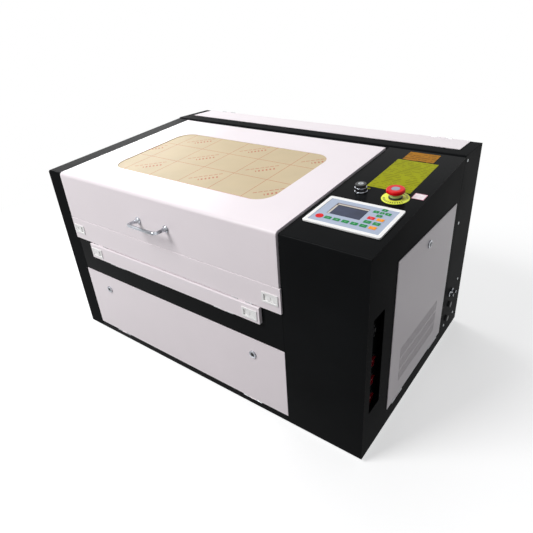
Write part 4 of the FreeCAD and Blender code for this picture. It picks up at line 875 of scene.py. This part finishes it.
class CUTTER_OT_labels(bpy.types.Operator):
    """Plain vinyl labels on the deck."""
    bl_idname = "cutter.labels"
    bl_label = "Deck labels"

    # name, finish, the two ends across and the two ends back, the heights of foot and face, the corners
    vinyl, second = 0.00012, 0.0002
    labels = (
        ("yellow_label", "label", (0.355, 0.458), (0.260, 0.430), 0.0, vinyl, 0.0012),
        ("orange_label", "orange_label", (0.364, 0.443), (0.433, 0.486), 0.0, vinyl, 0.0012),
        ("white_label_border", "pink", (0.4675, 0.4945), (0.2425, 0.2685), 0.0, vinyl, 0.0012),
        ("yellow_label_end", "label", (0.360, 0.370), (0.247, 0.253), 0.0, vinyl, 0.0012),
        ("white_label", "white_label", (0.469, 0.493), (0.244, 0.267), vinyl, second, 0.001))

    def execute(self, context):
        for name, finish, x, d, foot, face, corner in self.labels:
            bm = bmesh.new()
            plate(
                bm, (x[0], d[0] / DECK_COS, foot), (x[1], d[1] / DECK_COS, face), corner=corner, matrix=DECK)
            finish_piece(name, bm, "cabinet", finish)
        return {"FINISHED"}


class CUTTER_OT_connectors(bpy.types.Operator):
    """Rocker switches, ports, hose barbs and case screws on the sides."""
    bl_idname = "cutter.connectors"
    bl_label = "Switches and fittings"

    # how far a screw's head stands out, and the screws' places back and up on both sides
    head = 0.0022
    spots = ((0.196, 0.556), (0.196, 0.388), (0.276, 0.177), (0.276, 0.056), (0.196, 0.056))

    def execute(self, context):
        for number in (1, 2, 3):
            softened(f"rocker_{number}", "rocker", edge=0.0006)
        softened("connector_ports", "black_abs", edge=0.0005)
        softened("hose_barbs", "chrome", edge=0.0004)
        self.screws()
        return {"FINISHED"}

    def screws(self):
        """Pan-head screws, with black bars laid on their heads as the painted shade of their crossed
        recesses.
        """
        bm, recess_shade = bmesh.new(), bmesh.new()
        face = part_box("case_screws")[1][0] - self.head
        for y, z in self.spots:
            for side in (-1, 1):
                place = Matrix.Translation((side * face, y, z)) @ Matrix.Rotation(side * math.pi / 2, 4, "Y")
                turned(bm, rounded_profile(
                    [(0, 0), (0.004, 0), (0.004, 0.0009), (0.0022, 0.0021), (0, self.head)], 0.0008),
                    place, steps=24)
                # two thin black bars on each head: painted shade standing for its crossed slots
                for turn in (0.4, 0.4 + math.pi / 2):
                    plate(recess_shade, (-0.002, -0.0004, 0.0018), (0.002, 0.0004, 0.00219),
                          matrix=place @ Matrix.Rotation(turn, 4, "Z"))
        finish_piece("pan_head_screws", bm, "cabinet", "zinc", replaces=("case_screws",))
        finish_piece("screw_recess_painted_shade", recess_shade, "cabinet", "black_abs")


class CUTTER_OT_chamber(bpy.types.Operator):
    """Rails, gantry, head and table in the work chamber."""
    bl_idname = "cutter.chamber"
    bl_label = "Work chamber"

    def execute(self, context):
        for node in ("y_rails", "gantry_beam", "second_mirror", "laser_head", "table_frame"):
            softened(node, "aluminium", edge=0.0006)
        for node in ("table_slats", "lift_screw_left", "lift_screw_right"):
            paint(node, "zinc")
        paint("x_drive", "belt")
        return {"FINISHED"}


class CUTTER_OT_bays(bpy.types.Operator):
    """Laser tube, its clamps, the power supply and the controller."""
    bl_idname = "cutter.bays"
    bl_label = "Laser and control bays"

    def execute(self, context):
        softened("tube_mounts", "aluminium", edge=0.0006)
        softened("laser_power_supply", "zinc", edge=0.001)
        paint("controller", "board")
        self.tube()
        return {"FINISHED"}

    def tube(self):
        """Glass laser tube with metal end caps."""
        low, high = (Vector(c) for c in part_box("laser_tube"))
        middle, long = (low + high) / 2, high.x - low.x
        place = Matrix.Translation((low.x, middle.y, middle.z)) @ Matrix.Rotation(math.pi / 2, 4, "Y")
        bm = bmesh.new()
        neck, jacket, start, shoulder, cap = 0.019, 0.025, 0.03, 0.045, 0.012
        turned(bm, rounded_profile(
            [(0, start), (neck, start), (jacket, shoulder), (jacket, long - shoulder), (neck, long - start),
             (0, long - start)], 0.012), place)
        finish_piece("glass_jacket", bm, "cabinet", "glass", replaces=("laser_tube",))
        bm = bmesh.new()
        for near, far in ((0.0, 0.034), (long - 0.034, long)):
            turned(bm, rounded_profile([(0, near), (cap, near), (cap, far), (0, far)], 0.002), place)
        finish_piece("tube_ends", bm, "cabinet", "zinc")


class CUTTER_OT_feet(bpy.types.Operator):
    """Rubber feet."""
    bl_idname = "cutter.feet"
    bl_label = "Feet"

    def execute(self, context):
        softened("foot_pads", "rubber", edge=0.0015, segments=3)
        return {"FINISHED"}


BUILDERS = (
    CUTTER_OT_cabinet, CUTTER_OT_covers, CUTTER_OT_handle, CUTTER_OT_latches, CUTTER_OT_locks,
    CUTTER_OT_panel, CUTTER_OT_stop, CUTTER_OT_key_switch, CUTTER_OT_labels, CUTTER_OT_connectors,
    CUTTER_OT_chamber, CUTTER_OT_bays, CUTTER_OT_feet, CUTTER_OT_stage)


class CUTTER_PT_panel(bpy.types.Panel):
    """Lists the sizes, the colours and the pieces."""
    bl_idname = "CUTTER_PT_panel"
    bl_label = "Laser cutter"
    bl_space_type = "VIEW_3D"
    bl_region_type = "UI"
    bl_category = "Laser cutter"

    def draw(self, context):
        column = self.layout.column()
        for group in (context.scene.cutter_sizes, context.scene.cutter_colours):
            for name in group.__annotations__:
                column.prop(group, name)
        for builder in BUILDERS:
            column.operator(builder.bl_idname)


CLASSES = (CutterSizes, CutterColours, *BUILDERS, CUTTER_PT_panel)


def register():
    for item in CLASSES:
        bpy.utils.register_class(item)
    bpy.types.Scene.cutter_sizes = bpy.props.PointerProperty(type=CutterSizes)
    bpy.types.Scene.cutter_colours = bpy.props.PointerProperty(type=CutterColours)


def unregister():
    del bpy.types.Scene.cutter_colours
    del bpy.types.Scene.cutter_sizes
    for item in reversed(CLASSES):
        bpy.utils.unregister_class(item)


def main():
    """Build every piece in order."""
    register()
    FINISH.update(make_materials())
    for builder in BUILDERS:
        group, name = builder.bl_idname.split(".")
        getattr(getattr(bpy.ops, group), name)()


if __name__ == "__main__":
    main()
